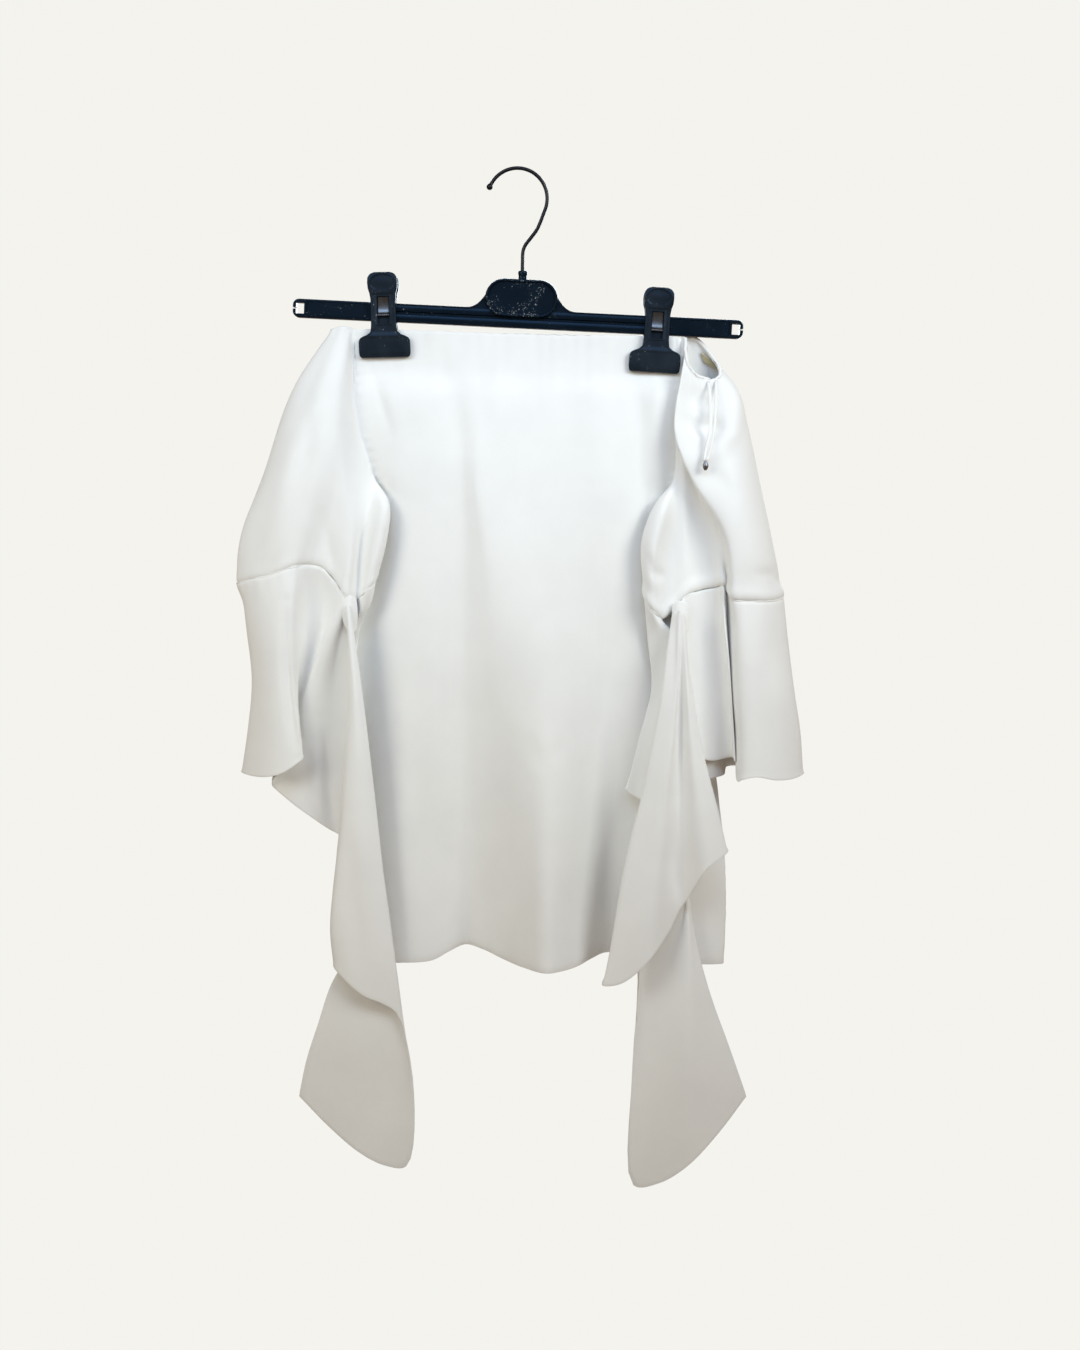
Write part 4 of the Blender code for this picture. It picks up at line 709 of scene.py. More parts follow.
FLOUNCE_CREASES = {
    "left": (
        ("valley beside the cuff", ((-204, 374), (-204, 430), (-201, 478), (-196, 512)), 5, -4.0, 1),
        ("valley beside the tail", ((-178, 480), (-172, 540), (-166, 592)), 6, -3.5, 1),
        ("fold in the triangle", ((-192, 500), (-188, 550), (-184, 585)), 7, -1.8, 1),
        ("soft fold of the tail", ((-152, 560), (-148, 640), (-140, 710)), 9, -1.6, 1),
        ("soft fold behind", ((-214, 420), (-216, 480), (-220, 530)), 9, -2.0, -1),
    ),
    "right": (
        ("valley of the cascade", ((136, 590), (142, 640), (146, 690)), 7, -3.0, 1),
        ("soft fold of the cascade", ((142, 425), (139, 500), (128, 580)), 5, -2.2, 1),
        ("soft fold of the cuff", ((212, 420), (218, 480), (226, 535)), 9, -1.2, 1),
        ("soft fold behind", ((226, 420), (230, 480), (236, 530)), 9, -2.0, -1),
    ),
}
APEX_TUCKS = {  # columns of the little knot of cloth where each elbow seam has its lowest point
    "left": (
        ((-156.5, 371, 32), (-156.5, 382, 33), (-155, 392, 33)),
        ((-153, 370, 33.5), (-153, 384, 35), (-152.5, 398, 34)),
        ((-148, 370, 33.5), (-148, 386, 35), (-148, 402, 34)),
        ((-144, 372, 30), (-143, 386, 31), (-144, 400, 30)),
    ),
    "right": (
        ((134, 377, 30), (134, 389, 31), (135, 401, 31)),
        ((138.5, 375, 32.5), (138.5, 390, 34.5), (138.5, 403, 34)),
        ((143, 375, 32.5), (143, 390, 34.5), (143, 403, 34)),
        ((147, 377, 30), (147.5, 389, 31), (147, 401, 30)),
    ),
}


def vertices_of(points):
    """An array of table points as a mesh's vertices, in metres."""
    return (np.stack([points[:, 0], -points[:, 2], -points[:, 1]], axis=1) / 1000).tolist()


def add_object(name, data):
    obj = bpy.data.objects.new(name, data)
    bpy.context.scene.collection.objects.link(obj)
    return obj


def add_smooth(name, points, faces):
    """A smooth-shaded object from table points."""
    mesh = bpy.data.meshes.new(name)
    mesh.from_pydata(vertices_of(points), [], faces)
    mesh.update()
    mesh.shade_smooth()
    return add_object(name, mesh)


def rim_path(columns, rows, closed):
    """The boundary of a grid as runs of (column, row, outward step), each a loop."""
    if closed:
        return [
            [(c, 0, (0, -1)) for c in range(columns)],
            [(c, rows - 1, (0, 1)) for c in reversed(range(columns))],
        ]
    top = [(c, 0, (0, -1)) for c in range(columns)]
    right = [(columns - 1, r, (1, 0)) for r in range(1, rows)]
    bottom = [(c, rows - 1, (0, 1)) for c in reversed(range(columns - 1))]
    left = [(0, r, (-1, 0)) for r in reversed(range(1, rows - 1))]
    return [top + right + bottom + left]


def add_shell(name, grid, thickness, closed=False, facing=1):
    """A closed cloth wall on a grid, with rounded edges. Faces on its outer side come first."""
    columns, rows = grid.shape[:2]
    normals = normals_of(grid, closed) * facing
    half = np.broadcast_to(np.asarray(thickness) / 2, (columns, rows))[..., None]
    outer = (grid + normals * half).reshape(-1, 3)
    inner = (grid - normals * half).reshape(-1, 3)
    points = [outer, inner]
    total = 2 * columns * rows
    first = np.arange(columns * rows).reshape(columns, rows)
    after = np.roll(first, -1, axis=0) if closed else first[1:]
    before = first if closed else first[:-1]
    quads = np.stack([before[:, :-1], after[:, :-1], after[:, 1:], before[:, 1:]], axis=-1).reshape(-1, 4)
    if facing > 0:
        quads = quads[:, ::-1]
    faces = [quads, quads[:, ::-1] + columns * rows]
    across = slopes(grid, 0, closed)
    down = slopes(grid, 1)
    for loop in rim_path(columns, rows, closed):
        c = np.array([item[0] for item in loop])
        r = np.array([item[1] for item in loop])
        step = np.array([item[2] for item in loop], float)
        away = unit(across[c, r] * step[:, :1] + down[c, r] * step[:, 1:])
        ring = [first[c, r]]
        for k in range(1, EDGE_STEPS):
            angle = math.pi * k / EDGE_STEPS
            turned = normals[c, r] * math.cos(angle) + away * math.sin(angle)
            points.append(grid[c, r] + half[c, r] * turned)
            ring.append(total + np.arange(len(loop)))
            total += len(loop)
        ring.append(first[c, r] + columns * rows)
        for upper, lower in zip(ring, ring[1:]):
            strip = np.stack([upper, np.roll(upper, -1), np.roll(lower, -1), lower], axis=-1)
            faces.append(strip if facing > 0 else strip[:, ::-1])
    return add_smooth(name, np.concatenate(points), np.concatenate(faces).tolist())


def make_camera():
    camera = add_object("camera", bpy.data.cameras.new("camera"))
    camera.location = CAMERA_AT
    direction = Vector(CAMERA_TARGET) - Vector(CAMERA_AT)
    camera.rotation_euler = direction.to_track_quat("-Z", "Y").to_euler()
    camera.data.sensor_fit = "VERTICAL"
    camera.data.sensor_height = 36.0
    camera.data.lens = CAMERA_LENS
    camera.data.clip_start = 0.05
    bpy.context.scene.camera = camera


def link_node(material, kind, settings, inputs):
    """A node with its settings and inputs, which are values or other nodes' outputs."""
    node = material.node_tree.nodes.new(kind)
    for name, value in settings.items():
        setattr(node, name, value)
    for name, value in inputs.items():
        if isinstance(value, bpy.types.NodeSocket):
            material.node_tree.links.new(value, node.inputs[name])
        else:
            node.inputs[name].default_value = value
    return node


def new_material(name, colour, roughness, **inputs):
    material = bpy.data.materials.new(name)
    material.use_nodes = True
    shader = material.node_tree.nodes["Principled BSDF"]
    shader.inputs["Base Color"].default_value = (*colour, 1.0)
    shader.inputs["Roughness"].default_value = roughness
    for key, value in inputs.items():
        shader.inputs[key.replace("_", " ")].default_value = value
    return material, shader


def object_space(material):
    return link_node(material, "ShaderNodeTexCoord", {}, {}).outputs["Object"]


def add_noise(material, where, scale, detail, distortion=0.0):
    inputs = {"Vector": where, "Scale": scale, "Detail": detail, "Distortion": distortion}
    return link_node(material, "ShaderNodeTexNoise", {}, inputs).outputs["Fac"]


def add_range(material, value, **limits):
    """The value, moved from its old limits to new ones."""
    inputs = {key.replace("_", " "): limit for key, limit in limits.items()}
    return link_node(material, "ShaderNodeMapRange", {}, {"Value": value, **inputs}).outputs["Result"]


def feed(material, output, shader, name):
    material.node_tree.links.new(output, shader.inputs[name])


def add_bump(material, shader, height, strength, distance):
    inputs = {"Height": height, "Strength": strength, "Distance": distance}
    feed(material, link_node(material, "ShaderNodeBump", {}, inputs).outputs["Normal"], shader, "Normal")


def crepe_material():
    """Matte ivory crepe: pebbled grain, faint cloudiness and a little sheen."""
    material, shader = new_material(
        "crepe", (0.86, 0.855, 0.83), 0.82, Sheen_Weight=0.25, Sheen_Roughness=0.6
    )
    where = object_space(material)
    grain = add_noise(material, where, 1500.0, 2.0)
    pebble = link_node(
        material, "ShaderNodeTexVoronoi", {"feature": "SMOOTH_F1"}, {"Vector": where, "Scale": 900.0}
    )
    height = link_node(
        material, "ShaderNodeMix", {"data_type": "FLOAT"},
        {"Factor": 0.45, "A": grain, "B": pebble.outputs["Distance"]},
    )
    cloud = add_noise(material, where, 22.0, 3.0)
    tone = link_node(material, "ShaderNodeValToRGB", {}, {"Fac": cloud})
    for stop, (position, colour) in zip(tone.color_ramp.elements, CREPE_TONES):
        stop.position = position
        stop.color = colour
    feed(material, tone.outputs["Color"], shader, "Base Color")
    add_bump(material, shader, height.outputs["Result"], 0.35, 0.00025)
    return material


def plastic_material(name, flecks, haze):
    """Near-black moulded plastic, with hazy rubbed patches and this share of pale flecks."""
    material, shader = new_material(
        name, (0.007, 0.012, 0.019), 0.28, Specular_IOR_Level=0.2, Specular_Tint=(0.35, 0.62, 1.0, 1.0)
    )
    where = object_space(material)
    cloud = add_noise(material, where, 45.0, 4.0)
    rough = add_range(material, cloud, To_Min=0.2, To_Max=0.34 + haze)
    feed(material, rough, shader, "Roughness")
    chips = add_noise(material, where, 330.0, 2.0, 2.6)
    worn = add_range(material, chips, From_Min=0.72 - flecks, From_Max=0.76 - flecks)
    patchy = add_range(material, cloud, From_Min=0.46, From_Max=0.54)
    both = link_node(material, "ShaderNodeMath", {"operation": "MULTIPLY"}, {0: worn, 1: patchy})
    pale = haze / 12
    base = link_node(
        material, "ShaderNodeMix", {"data_type": "RGBA"},
        {"Factor": cloud, 6: (0.002, 0.005, 0.009, 1), 7: (0.005 + pale, 0.010 + pale, 0.017 + pale, 1)},
    )
    colour = link_node(
        material, "ShaderNodeMix", {"data_type": "RGBA"},
        {"Factor": both.outputs[0], 6: base.outputs[2], 7: FLECK_COLOUR},
    )
    feed(material, colour.outputs[2], shader, "Base Color")
    add_bump(material, shader, add_noise(material, where, 700.0, 2.0), 0.12, 0.0002)
    return material


def metal_material(name, colour, low, high):
    """Metal with a roughness that wanders from low to high."""
    material, shader = new_material(name, colour, low, Metallic=1.0)
    wear = add_noise(material, object_space(material), 260.0, 4.0)
    feed(material, add_range(material, wear, To_Min=low, To_Max=high), shader, "Roughness")
    return material


def woven_material(name, colour, roughness, scale):
    """A fine ribbed weave, for ribbon and tape."""
    material, shader = new_material(name, colour, roughness, Sheen_Weight=0.2)
    ribs = link_node(
        material, "ShaderNodeTexWave", {"bands_direction": "Z"},
        {"Vector": object_space(material), "Scale": scale, "Distortion": 1.0},
    )
    add_bump(material, shader, ribs.outputs["Fac"], 0.4, 0.0001)
    return material


def make_materials():
    return {
        "crepe": crepe_material(),
        "black_plastic": plastic_material("black_plastic", 0.0, 0.0),
        "scuffed_plastic": plastic_material("scuffed_plastic", 0.075, 0.0),
        "clip_plastic": plastic_material("clip_plastic", 0.02, 0.22),
        "gunmetal": metal_material("gunmetal", (0.03, 0.03, 0.033), 0.22, 0.4),
        "spring_steel": metal_material("spring_steel", (0.13, 0.135, 0.14), 0.2, 0.36),
        "grip_tape": woven_material("grip_tape", (0.52, 0.46, 0.27), 0.5, 400.0),
        "ribbon": woven_material("ribbon", (0.87, 0.86, 0.84), 0.45, 900.0),
        "bead": metal_material("bead", (0.22, 0.22, 0.23), 0.3, 0.5),
    }


def dress(obj, material, nodes):
    """The piece's material and body; the solids that it stands for are hidden."""
    obj.data.materials.append(material)
    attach(obj, "root")
    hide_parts(*nodes)
    return obj


def dress_cloth(obj, name, materials):
    """A cut piece in its crepe."""
    dress(obj, materials["crepe"], [name])


def tube_mesh(name, path, widths, thicknesses, sides):
    """An oval tube along a path of table points."""
    path = np.array(path, float)
    along_path = unit(np.gradient(path, axis=0))
    across = unit(np.cross(along_path, (0.0, 0.0, 1.0)))
    proud = unit(np.cross(across, along_path))
    rings = []
    for k in range(sides):
        angle = 2 * math.pi * k / sides
        rings.append(
            path + across * (np.asarray(widths) / 2 * math.cos(angle))[:, None]
            + proud * (np.asarray(thicknesses) / 2 * math.sin(angle))[:, None]
        )
    grid = np.array(rings)
    points = np.concatenate([grid.reshape(-1, 3), path[:1], path[-1:]])
    count = len(path)
    first = np.arange(sides * count).reshape(sides, count)
    after = np.roll(first, -1, axis=0)
    quads = np.stack([first[:, :-1], first[:, 1:], after[:, 1:], after[:, :-1]], axis=-1)
    faces = quads.reshape(-1, 4).tolist()
    for end, centre, turned in ((0, sides * count, False), (count - 1, sides * count + 1, True)):
        for k in range(sides):
            cap = [first[k, end], after[k, end], centre]
            faces.append([int(i) for i in (reversed(cap) if turned else cap)])
    return add_smooth(name, points, faces)


def make_bead(materials):
    """A small metal bead: a barrel that narrows to a collar at both ends."""
    ends = np.linspace(-1, 1, 13)
    path = [(BEAD[0], BEAD[1] + end * BEAD_SIZE[2] / 2, BEAD[2]) for end in ends]
    widths = BEAD_SIZE[0] * (0.42 + 0.58 * (1 - np.abs(ends) ** 1.6))
    bead = tube_mesh("bead", path, widths, widths * BEAD_SIZE[1] / BEAD_SIZE[0], 16)
    return dress(bead, materials["bead"], ["ribbon_bead"])


def make_ribbons(materials):
    """The two ends of the ribbon that runs in the neck casing, held together by the bead."""
    bead = make_bead(materials)
    for name, route in RIBBONS:
        path = along(route, RIBBON_POINTS)
        share = np.linspace(0, 1, len(path))
        widths = RIBBON_WIDTH * (1 - 0.25 * share)
        piece = tube_mesh(f"{name}_strand", path, widths, np.full(len(path), RIBBON_THICK), 12)
        dress(piece, materials["ribbon"], [name])


def neck_gathers(grid, run, away):
    """The small gathers of the neck casing, tightest beside the right clip."""
    middle, spread = TIGHT_GATHERS
    crowd = np.exp(-(((grid[..., 0] - middle) / spread) ** 2))
    depth = 0.55 + 1.3 * crowd
    loose = 0.6 * waves(run, 37.0) + 0.4 * waves(run + 9, 13.0)
    wave = loose * (1 - crowd) + waves(run, 6.5) * crowd
    reach = 34 + 14 * waves(run + 21, 47.0)
    fade = np.exp(-((away / reach) ** 1.4))
    moved = grid.copy()
    moved[..., 2] += depth * wave * fade
    moved[..., 1] += 0.5 * waves(run + 5, 11.0) * np.exp(-away / 6)
    return moved


def bodice_piece(name, grid, creases, materials):
    fine = with_creases(soften(refine(grid, 8, 6), 12), creases, 1)
    run = distance_across(fine)
    away = distance_down(fine)
    fine = neck_gathers(fine, run, away)
    for edge_away in (run, run[-1:] - run):
        fine = pucker(fine, 1, away, edge_away, depth=0.45, pitch=9.0, reach=6.0, groove=0.55)
    casing = NECK_CASING[0] * np.exp(-((away / NECK_CASING[1]) ** 2))
    thickness = CLOTH + casing + HEM[0] * (away[:, -1:] - away < HEM[1])
    dress_cloth(add_shell(f"{name}_panel", fine, thickness), name, materials)


def seam_columns(grid):
    """For each row of a column that starts at a seam, how far round the seam it starts."""
    run = distance_across(grid[:, :1])
    return np.broadcast_to(run, grid.shape[:2])


def neck_share(grid):
    """1 along a sleeve's open neck edge and 0 along its armhole, eased between the two."""
    return np.broadcast_to(1 - ease(grid[:, :1, 1], *NECK_END), grid.shape[:2])


def sleeve_piece(name, grid, side, creases, materials):
    fine = soften(refine(grid, 5, 7, closed=True), 10, closed=True)
    outward = 1 if side == "right" else -1
    fine = with_creases(fine, creases, outward, closed=True)
    away = distance_down(fine)
    armhole = seam_columns(fine)
    fine = pucker(fine, outward, armhole, away, depth=0.5, pitch=9.0, reach=7.0, groove=0.5, closed=True)
    run = np.broadcast_to(distance_across(fine[:, -1:]), fine.shape[:2])
    above = away[:, -1:] - away
    swell = np.exp(-(((above - PUFF_RISE) / PUFF_RISE) ** 2))
    puff = PUFF[side] * swell * (1 - np.exp(-above / SEAM_EASE))
    fine = fine + normals_of(fine, True) * (outward * puff)[..., None]
    fine = pucker(fine, outward, run, above, depth=0.2, pitch=12.0, reach=9.0, groove=0.8, closed=True)
    thickness = CLOTH + NECK_ROLL * np.exp(-((away / NECK_ROLL_DROP) ** 2)) * neck_share(fine)
    dress_cloth(add_shell(f"{name}_cloth", fine, thickness, True, outward), name, materials)


def joined(obj, extra):
    """The object with the other's mesh added to its own."""
    mesh = bmesh.new()
    mesh.from_mesh(obj.data)
    mesh.from_mesh(extra.data)
    mesh.to_mesh(obj.data)
    mesh.free()
    bpy.data.objects.remove(extra)
    return obj


def flounce_piece(name, grid, side, materials):
    fine = soften(refine(grid, 5, 9), 10)
    outward = 1 if side == "right" else -1
    fine = with_creases(fine, FLOUNCE_CREASES[side], outward)
    away = distance_down(fine)
    run = np.broadcast_to(distance_across(fine[:, :1]), fine.shape[:2])
    fine = pucker(fine, outward, run, away, depth=0.25, pitch=12.0, reach=9.0, groove=0.6)
    tuck = refine(np.array(APEX_TUCKS[side], float), 5, 5)
    cloth = add_shell(f"{name}_cloth", fine, CLOTH, False, outward)
    dress_cloth(joined(cloth, add_shell(f"{name}_tuck", tuck, CLOTH)), name, materials)


def make_garment(materials):
    front, back = bodice_grids()
    bodice_piece("bodice_front", front, FRONT_CREASES, materials)
    bodice_piece("bodice_back", back, BACK_CREASES, materials)
    sides = (
        ("left", SLEEVE_LEFT, CASCADE_LEFT, SLEEVE_LEFT_CREASES, front[0], front[1], back[-1], back[-2]),
        ("right", SLEEVE_RIGHT, CASCADE_RIGHT, SLEEVE_RIGHT_CREASES, front[-1], front[-2], back[0], back[1]),
    )
    for side, rows, cascade, creases, front_edge, front_inner, back_edge, back_inner in sides:
        sleeve, around = sleeve_grid(
            rows, front_edge, unit(front_edge - front_inner), back_edge, unit(back_edge - back_inner)
        )
        sleeve_piece(f"sleeve_{side}", sleeve, side, creases, materials)
        flounce_piece(f"flounce_{side}", flounce_grid(rows, cascade, sleeve, around), side, materials)
    # The tape lies in the right sleeve, which was made last.
    tape = refine(tape_grid(sleeve, around), 4, 4)
    dress(add_shell("grip_tape_strip", tape, TAPE_WALL), materials["grip_tape"], ["grip_tape"])


def mesh_piece(name, points, faces):
    """A piece from table points and faces, cleaned of empty faces and loose points."""
    raw = bpy.data.meshes.new(name)
    raw.from_pydata(vertices_of(points), [], faces)
    mesh = bmesh.new()
    mesh.from_mesh(raw)
    bmesh.ops.remove_doubles(mesh, verts=mesh.verts, dist=2e-6)
    bmesh.ops.delete(mesh, geom=[vertex for vertex in mesh.verts if not vertex.link_faces], context="VERTS")
    bmesh.ops.recalc_face_normals(mesh, faces=mesh.faces)
    mesh.to_mesh(raw)
    mesh.free()
    raw.shade_smooth()
    raw.set_sharp_from_angle(angle=math.radians(SHARP_ANGLE))
    return add_object(name, raw)


def seated(points, right, down, tilt):
    """Points of a moulding, turned in its plane and moved to where it sits."""
    turn = math.radians(tilt)
    moved = points.copy()
    moved[:, 0] = right + points[:, 0] * math.cos(turn) - points[:, 1] * math.sin(turn)
    moved[:, 1] = down + points[:, 0] * math.sin(turn) + points[:, 1] * math.cos(turn)
    return moved


def relief(right, down, front, back, keep):
    """Points and faces of a moulded plate, with walls round it and round the cells that are left out."""
    columns, rows = right.shape
    count = columns * rows
    points = np.concatenate([np.stack([right, down, face], axis=-1).reshape(-1, 3) for face in (front, back)])
    faces = []
    for c, r in np.argwhere(keep):
        start = int(c * rows + r)
        corners = [start, start + rows, start + rows + 1, start + 1]
        faces.append(corners[::-1])
        faces.append([i + count for i in corners])
        for side, (cc, rr) in enumerate(((c, r - 1), (c + 1, r), (c, r + 1), (c - 1, r))):
            if 0 <= cc < columns - 1 and 0 <= rr < rows - 1 and keep[cc, rr]:
                continue
            one, two = corners[side], corners[(side + 1) % 4]
            faces.append([one, two, two + count, one + count])
    return points, faces


def ease(value, low, high):
    """0 below low, 1 above high, and a smooth step between."""
    share = np.clip((value - low) / (high - low), 0, 1)
    return share * share * (3 - 2 * share)


def rounding(inset):
    """How far a face drops at this distance inside its rounded outline."""
    inside = np.clip(inset, 0, EDGE_ROUND)
    return EDGE_ROUND - np.sqrt(EDGE_ROUND**2 - (EDGE_ROUND - inside) ** 2)


def smooth_lookup(at, table, column, reach):
    """A table's column at each place, averaged over a short reach so that its corners are round."""
    table = np.array(table, float)
    near = [np.clip(at + shift, 0, table[-1, 0]) for shift in np.linspace(-reach, reach, 7)]
    return np.mean([np.interp(spot, table[:, 0], table[:, column]) for spot in near], axis=0)


def clip_plate(name, facing, seat, material):
    """A clip's plate: a thumb pad in a raised head, a ribbed stem round the window, and a wide jaw."""
    wide, top, foot = CLIP_WINDOW
    length = CLIP_OUTLINE[-1][0]
    spans = (  # from and to this far down, and how many rows
        (0, 1.2, 7), (1.2, 4, 8), (4, top, 34), (top, top + 0.06, 2), (top, foot, 30), (foot - 0.06, foot, 2),
        (foot, 51, 9), (51, 60, 22), (60, 70, 8), (70, length, 12),
    )
    downs = np.unique(np.concatenate([np.linspace(*span) for span in spans]))
    half = smooth_lookup(downs, CLIP_OUTLINE, 1, 0.5)
    edge = 1 - np.array([5.6, 4.6, 3.6, 3.0, 2.6, 2.2, 1.8, 1.4, 1.0, 0.7, 0.4, 0.2, 0.07, 0.0]) / 5.6
    middle = np.linspace(0.06 - wide, wide - 0.06, 11)
    outer = wide + edge[:, None] * (half - wide)
    right = np.concatenate([-outer[::-1], np.repeat(middle[:, None], len(downs), axis=1), outer])
    down = np.broadcast_to(downs, right.shape)
    inset = np.minimum(half - np.abs(right), np.minimum(down, length - down) * 1.5)
    face = smooth_lookup(downs, CLIP_DEPTHS, 2, 2.0) - rounding(inset)
    drop, pad_wide, pad_high = THUMB_PAD
    oval = np.hypot(right / pad_wide, (down - drop) / pad_high)
    face = face - 0.85 * (1 - ease(oval, 0.93, 1.0)) - 0.5 * np.clip(1 - oval**2, 0, 1)
    rib = ease(half - np.abs(right), 1.7, 2.6)
    face = face - 0.75 * rib * ease(down, 17.5, 20) * (1 - ease(down, 51, 55))
    frame = np.maximum(np.abs(right) - wide, np.maximum(top - down, down - foot))
    face = face + 0.65 * (1 - ease(frame, 1.1, 1.6)) * ease(down, 19, 20)
    face = face - 0.35 * ease(inset, 1.9, 2.4) * ease(down, 55, 57)
    back = np.broadcast_to(smooth_lookup(downs, CLIP_DEPTHS, 1, 1.0), right.shape)
    window = (np.abs(right) < wide - 0.03) & (down > top + 0.03) & (down < foot - 0.03)
    face = np.where(window, back + 0.3, face)
    whole = np.ones((len(right) - 1, len(downs) - 1), bool)
    points, faces = relief(right, down, face, back, whole)
    points[:, 2] *= facing
    return dress(mesh_piece(f"{name}_plate", seated(points, *seat), faces), material, [name])


def spring_strip(name, side, facing, seat, material):
    """The end of the sprung steel band, which shows in a plate's window and has a lip at its foot."""
    half = CLIP_WINDOW[0] - 0.5
    path = along([(0.0, down, facing * out) for down, out in SPRING_LEG], 40)
    across = np.linspace(-half, half, 7)
    grid = np.array([[(x, point[1], point[2]) for point in path] for x in across])
    shape = grid.shape
    grid = seated(grid.reshape(-1, 3), *seat).reshape(shape)
    return dress(add_shell(name, grid, SPRING_WALL), material, [f"clip_{side}_spring"])


def bar_moulding(material):
    """The bar: two soft bands with a groove between, recessed end panels and an open loop at each end."""
    half, high = BAR_LENGTH / 2, BAR_HEIGHT / 2
    near, far, hole_high = BAR_HOLE
    spans = (  # from and to this far from the middle, and how many columns
        (0, 28, 8), (28, 54, 27), (54, 184, 27), (184, near, 9), (near, far, 8), (far, half, 12),
        (130, 134, 5), (110, 114, 5),
    )
    right = np.unique(np.concatenate([np.linspace(*span) for span in spans]))
    right = np.concatenate([-right[::-1], right[1:]])
    rows = [8, 7.8, 7.5, 7.0, 6.6, 6.2, 5.8, 5.2, hole_high, 4, 3, 2.2, 1.8, 1.5, 1.2, BAR_SLIT]
    upper = [21, 18, 15.5, 13.5, 12, 10.8, 9.8, 9, 8.4]
    rows = np.array([-row for row in upper + rows] + [0] + rows[::-1])
    end = np.clip(np.abs(right) - (half - BAR_END_ROUND), 0, None)
    cut = BAR_END_ROUND - np.sqrt(BAR_END_ROUND**2 - end**2)
    share = np.clip((np.abs(right - BOSS_CENTRE[0]) - FLARE_SPAN[0]) / (FLARE_SPAN[1] - FLARE_SPAN[0]), 0, 1)
    top = -(high - cut + FLARE_RISE * (1 - share) ** 2.4)
    down = np.clip(rows, top[:, None], (high - cut)[:, None])
    right = np.broadcast_to(right[:, None], down.shape)
    inset = np.minimum(np.minimum(down - top[:, None], (high - cut)[:, None] - down), half - np.abs(right))
    level = np.abs(down)
    face = BAR_FACE - rounding(inset)
    middle = 1 - ease(np.abs(right), 117, 121)
    bands = 0.7 - 0.35 * np.cos(np.clip((level - 4.1) / 2.6, -1, 1) * math.pi / 2)
    face = face - middle * bands * ease(inset, 1.0, 1.7)
    groove = (1 - ease(level, 1.0, 1.5)) * (1 - ease(np.abs(right), GROOVE_END - 1, GROOVE_END))
    face = face - groove * 1.4
    panel = ease(inset, 1.6, 2.1) * ease(np.abs(right), PANEL_START, PANEL_START + 1)
    face = face - 0.9 * panel * (1 - ease(np.abs(right), near - 2.6, near - 2.0))
    middles = np.abs(down[:-1, :-1] + down[1:, 1:]) / 2
    across = np.abs(right[:-1, :-1] + right[1:, 1:]) / 2
    hole = (across > near) & (across < far) & (middles < hole_high)
    slit = (across > far) & (middles < BAR_SLIT)
    points, faces = relief(right, down, face, -face, ~(hole | slit))
    bar = mesh_piece("bar_moulding", seated(points, *BAR_CENTRE, BAR_TILT), faces)
    return dress(bar, material, ["hanger_bar"])


def boss_outline(inset):
    """The boss's outline, this far inside its edge: a plate with half-round ends."""
    radius = BOSS_SIZE[1] / 2 - inset
    reach = (BOSS_SIZE[0] - BOSS_SIZE[1]) / 2
    made = []
    for middle, start in ((reach, -90), (-reach, 90)):
        for angle in np.radians(start + 180 * np.arange(BOSS_STEPS + 1) / BOSS_STEPS):
            right = BOSS_CENTRE[0] + middle + radius * math.cos(angle)
            made.append((right, BOSS_CENTRE[1] + radius * math.sin(angle)))
    return made


def boss_moulding(material):
    """The boss in the middle of the bar, with a raised rim round a plain face."""
    rings = []
    for facing in (1, -1):
        half = [[(x, down, facing * out) for x, down in boss_outline(inset)] for inset, out in BOSS_PROFILE]
        rings += half[::-1] if facing > 0 else half
    grid = np.array(rings, float)
    count, around = grid.shape[:2]
    first = np.arange(count * around).reshape(count, around)
    after = np.roll(first, -1, axis=1)
    faces = np.stack([first[:-1], after[:-1], after[1:], first[1:]], axis=-1).reshape(-1, 4).tolist()
    faces += [first[0].tolist(), first[-1].tolist()]
    boss = mesh_piece("boss", seated(grid.reshape(-1, 3), *BAR_CENTRE, BAR_TILT), faces)
    dress(boss, material, ["hanger_bar"])
    path = [(SOCKET_PLACE[0], SOCKET_PLACE[1] + down, 0.0) for down, _ in SOCKET_PROFILE]
    widths = [width for _, width in SOCKET_PROFILE]
    path = [tuple(point) for point in seated(np.array(path, float), *BAR_CENTRE, BAR_TILT)]
    socket = tube_mesh("hook_socket", path, widths, [SOCKET_DEPTH * width for width in widths], 20)
    dress(socket, material, ["hanger_bar"])


def hook_wire(material):
    """The hook's wire with its ball tip."""
    start, end = (math.radians(angle) for angle in HOOK_ARC)
    arc = [
        (HOOK_CENTRE[0] + HOOK_RADIUS * math.cos(a), HOOK_CENTRE[1] - HOOK_RADIUS * math.sin(a), 0.0)
        for a in np.linspace(start, end, 60)
    ]
    neck = [(right, down, 0.0) for right, down in HOOK_NECK]
    lower = [tuple(point) for point in along([arc[-2], arc[-1], *neck], 50)[2:]]
    direction = unit(np.array(arc[0]) - np.array(arc[1]))
    turns = np.radians(np.linspace(172, 40, 12))
    ball = [tuple(np.array(arc[0]) + direction * HOOK_TIP / 2 * (0.9 - math.cos(turn))) for turn in turns]
    widths = [max(HOOK_TIP * math.sin(turn), 0.8) for turn in turns]
    widths += [HOOK_WIRE] * (len(arc) - 1 + len(lower))
    wire = tube_mesh("hook_wire", ball + arc[1:] + lower, widths, widths, 20)
    return dress(wire, material, ["hook"])


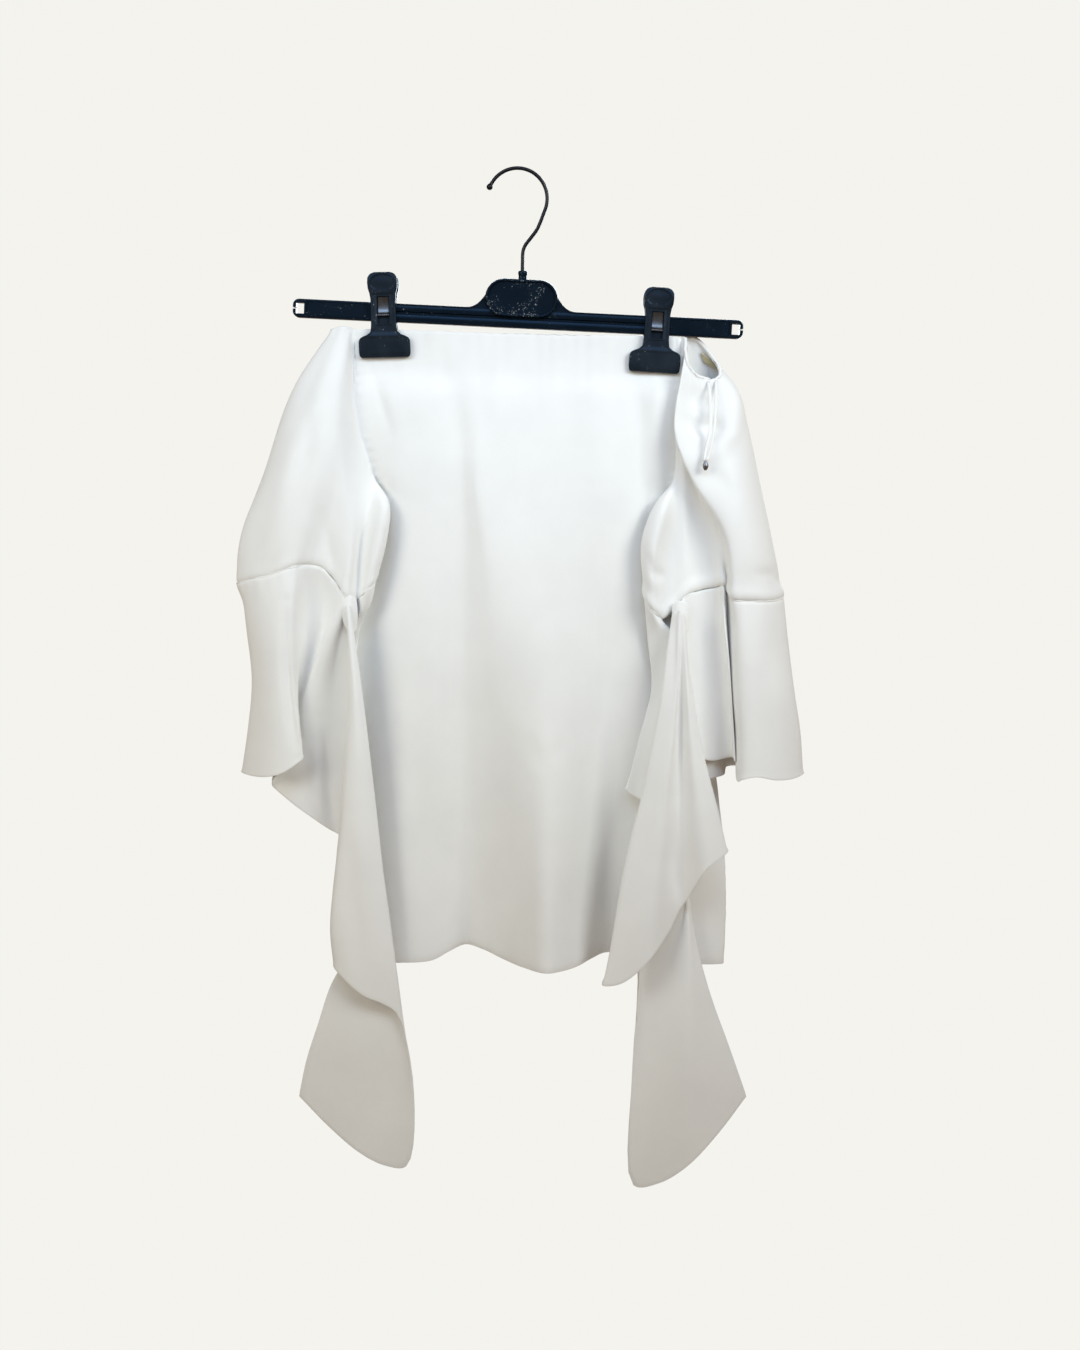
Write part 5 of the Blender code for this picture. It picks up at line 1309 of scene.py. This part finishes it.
def make_hanger(materials):
    hook_wire(materials["gunmetal"])
    bar_moulding(materials["black_plastic"])
    boss_moulding(materials["scuffed_plastic"])
    for side, *seat in CLIPS:
        for name, facing in (("front", 1), ("back", -1)):
            clip_plate(f"clip_{side}_{name}", facing, seat, materials["clip_plastic"])
            spring_strip(f"clip_{side}_{name}_strip", side, facing, seat, materials["spring_steel"])


def add_area_light(name, at, target, size, power, spread, colour):
    light = bpy.data.lights.new(name, "AREA")
    light.spread = math.radians(spread)
    light.shape = "RECTANGLE"
    light.size, light.size_y = size
    light.energy = power
    light.color = colour
    obj = add_object(name, light)
    obj.location = at
    obj.rotation_euler = (Vector(target) - Vector(at)).to_track_quat("-Z", "Y").to_euler()


def make_light():
    for light in LIGHTS:
        add_area_light(*light)
    world = bpy.data.worlds.new("world")
    bpy.context.scene.world = world
    world.use_nodes = True
    nodes, links = world.node_tree.nodes, world.node_tree.links
    nodes.clear()
    seen = nodes.new("ShaderNodeBackground")
    seen.inputs["Color"].default_value = (*BACKGROUND, 1.0)
    soft = nodes.new("ShaderNodeBackground")
    soft.inputs["Color"].default_value = (*AMBIENT, 1.0)
    soft.inputs["Strength"].default_value = AMBIENT_STRENGTH
    path = nodes.new("ShaderNodeLightPath")
    mix = nodes.new("ShaderNodeMixShader")
    out = nodes.new("ShaderNodeOutputWorld")
    links.new(path.outputs["Is Camera Ray"], mix.inputs["Fac"])
    links.new(soft.outputs[0], mix.inputs[1])
    links.new(seen.outputs[0], mix.inputs[2])
    links.new(mix.outputs[0], out.inputs["Surface"])
    bpy.context.scene.view_settings.view_transform = "Standard"


def make_floor():
    mesh = bpy.data.meshes.new("floor")
    half, near, far = FLOOR_SIZE
    outline = ((-half, near), (half, near), (half, far), (-half, far))
    mesh.from_pydata([(right, back, FLOOR_HEIGHT) for right, back in outline], [], [(0, 1, 2, 3)])
    floor = add_object("floor", mesh)
    material, _ = new_material("floor", (0.80, 0.79, 0.77), 0.9)
    mesh.materials.append(material)
    floor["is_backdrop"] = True


def corners():
    return [list(corner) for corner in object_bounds()]


def main():
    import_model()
    materials = make_materials()
    make_camera()
    make_ribbons(materials)
    make_garment(materials)
    make_hanger(materials)
    make_light()
    make_floor()


main()
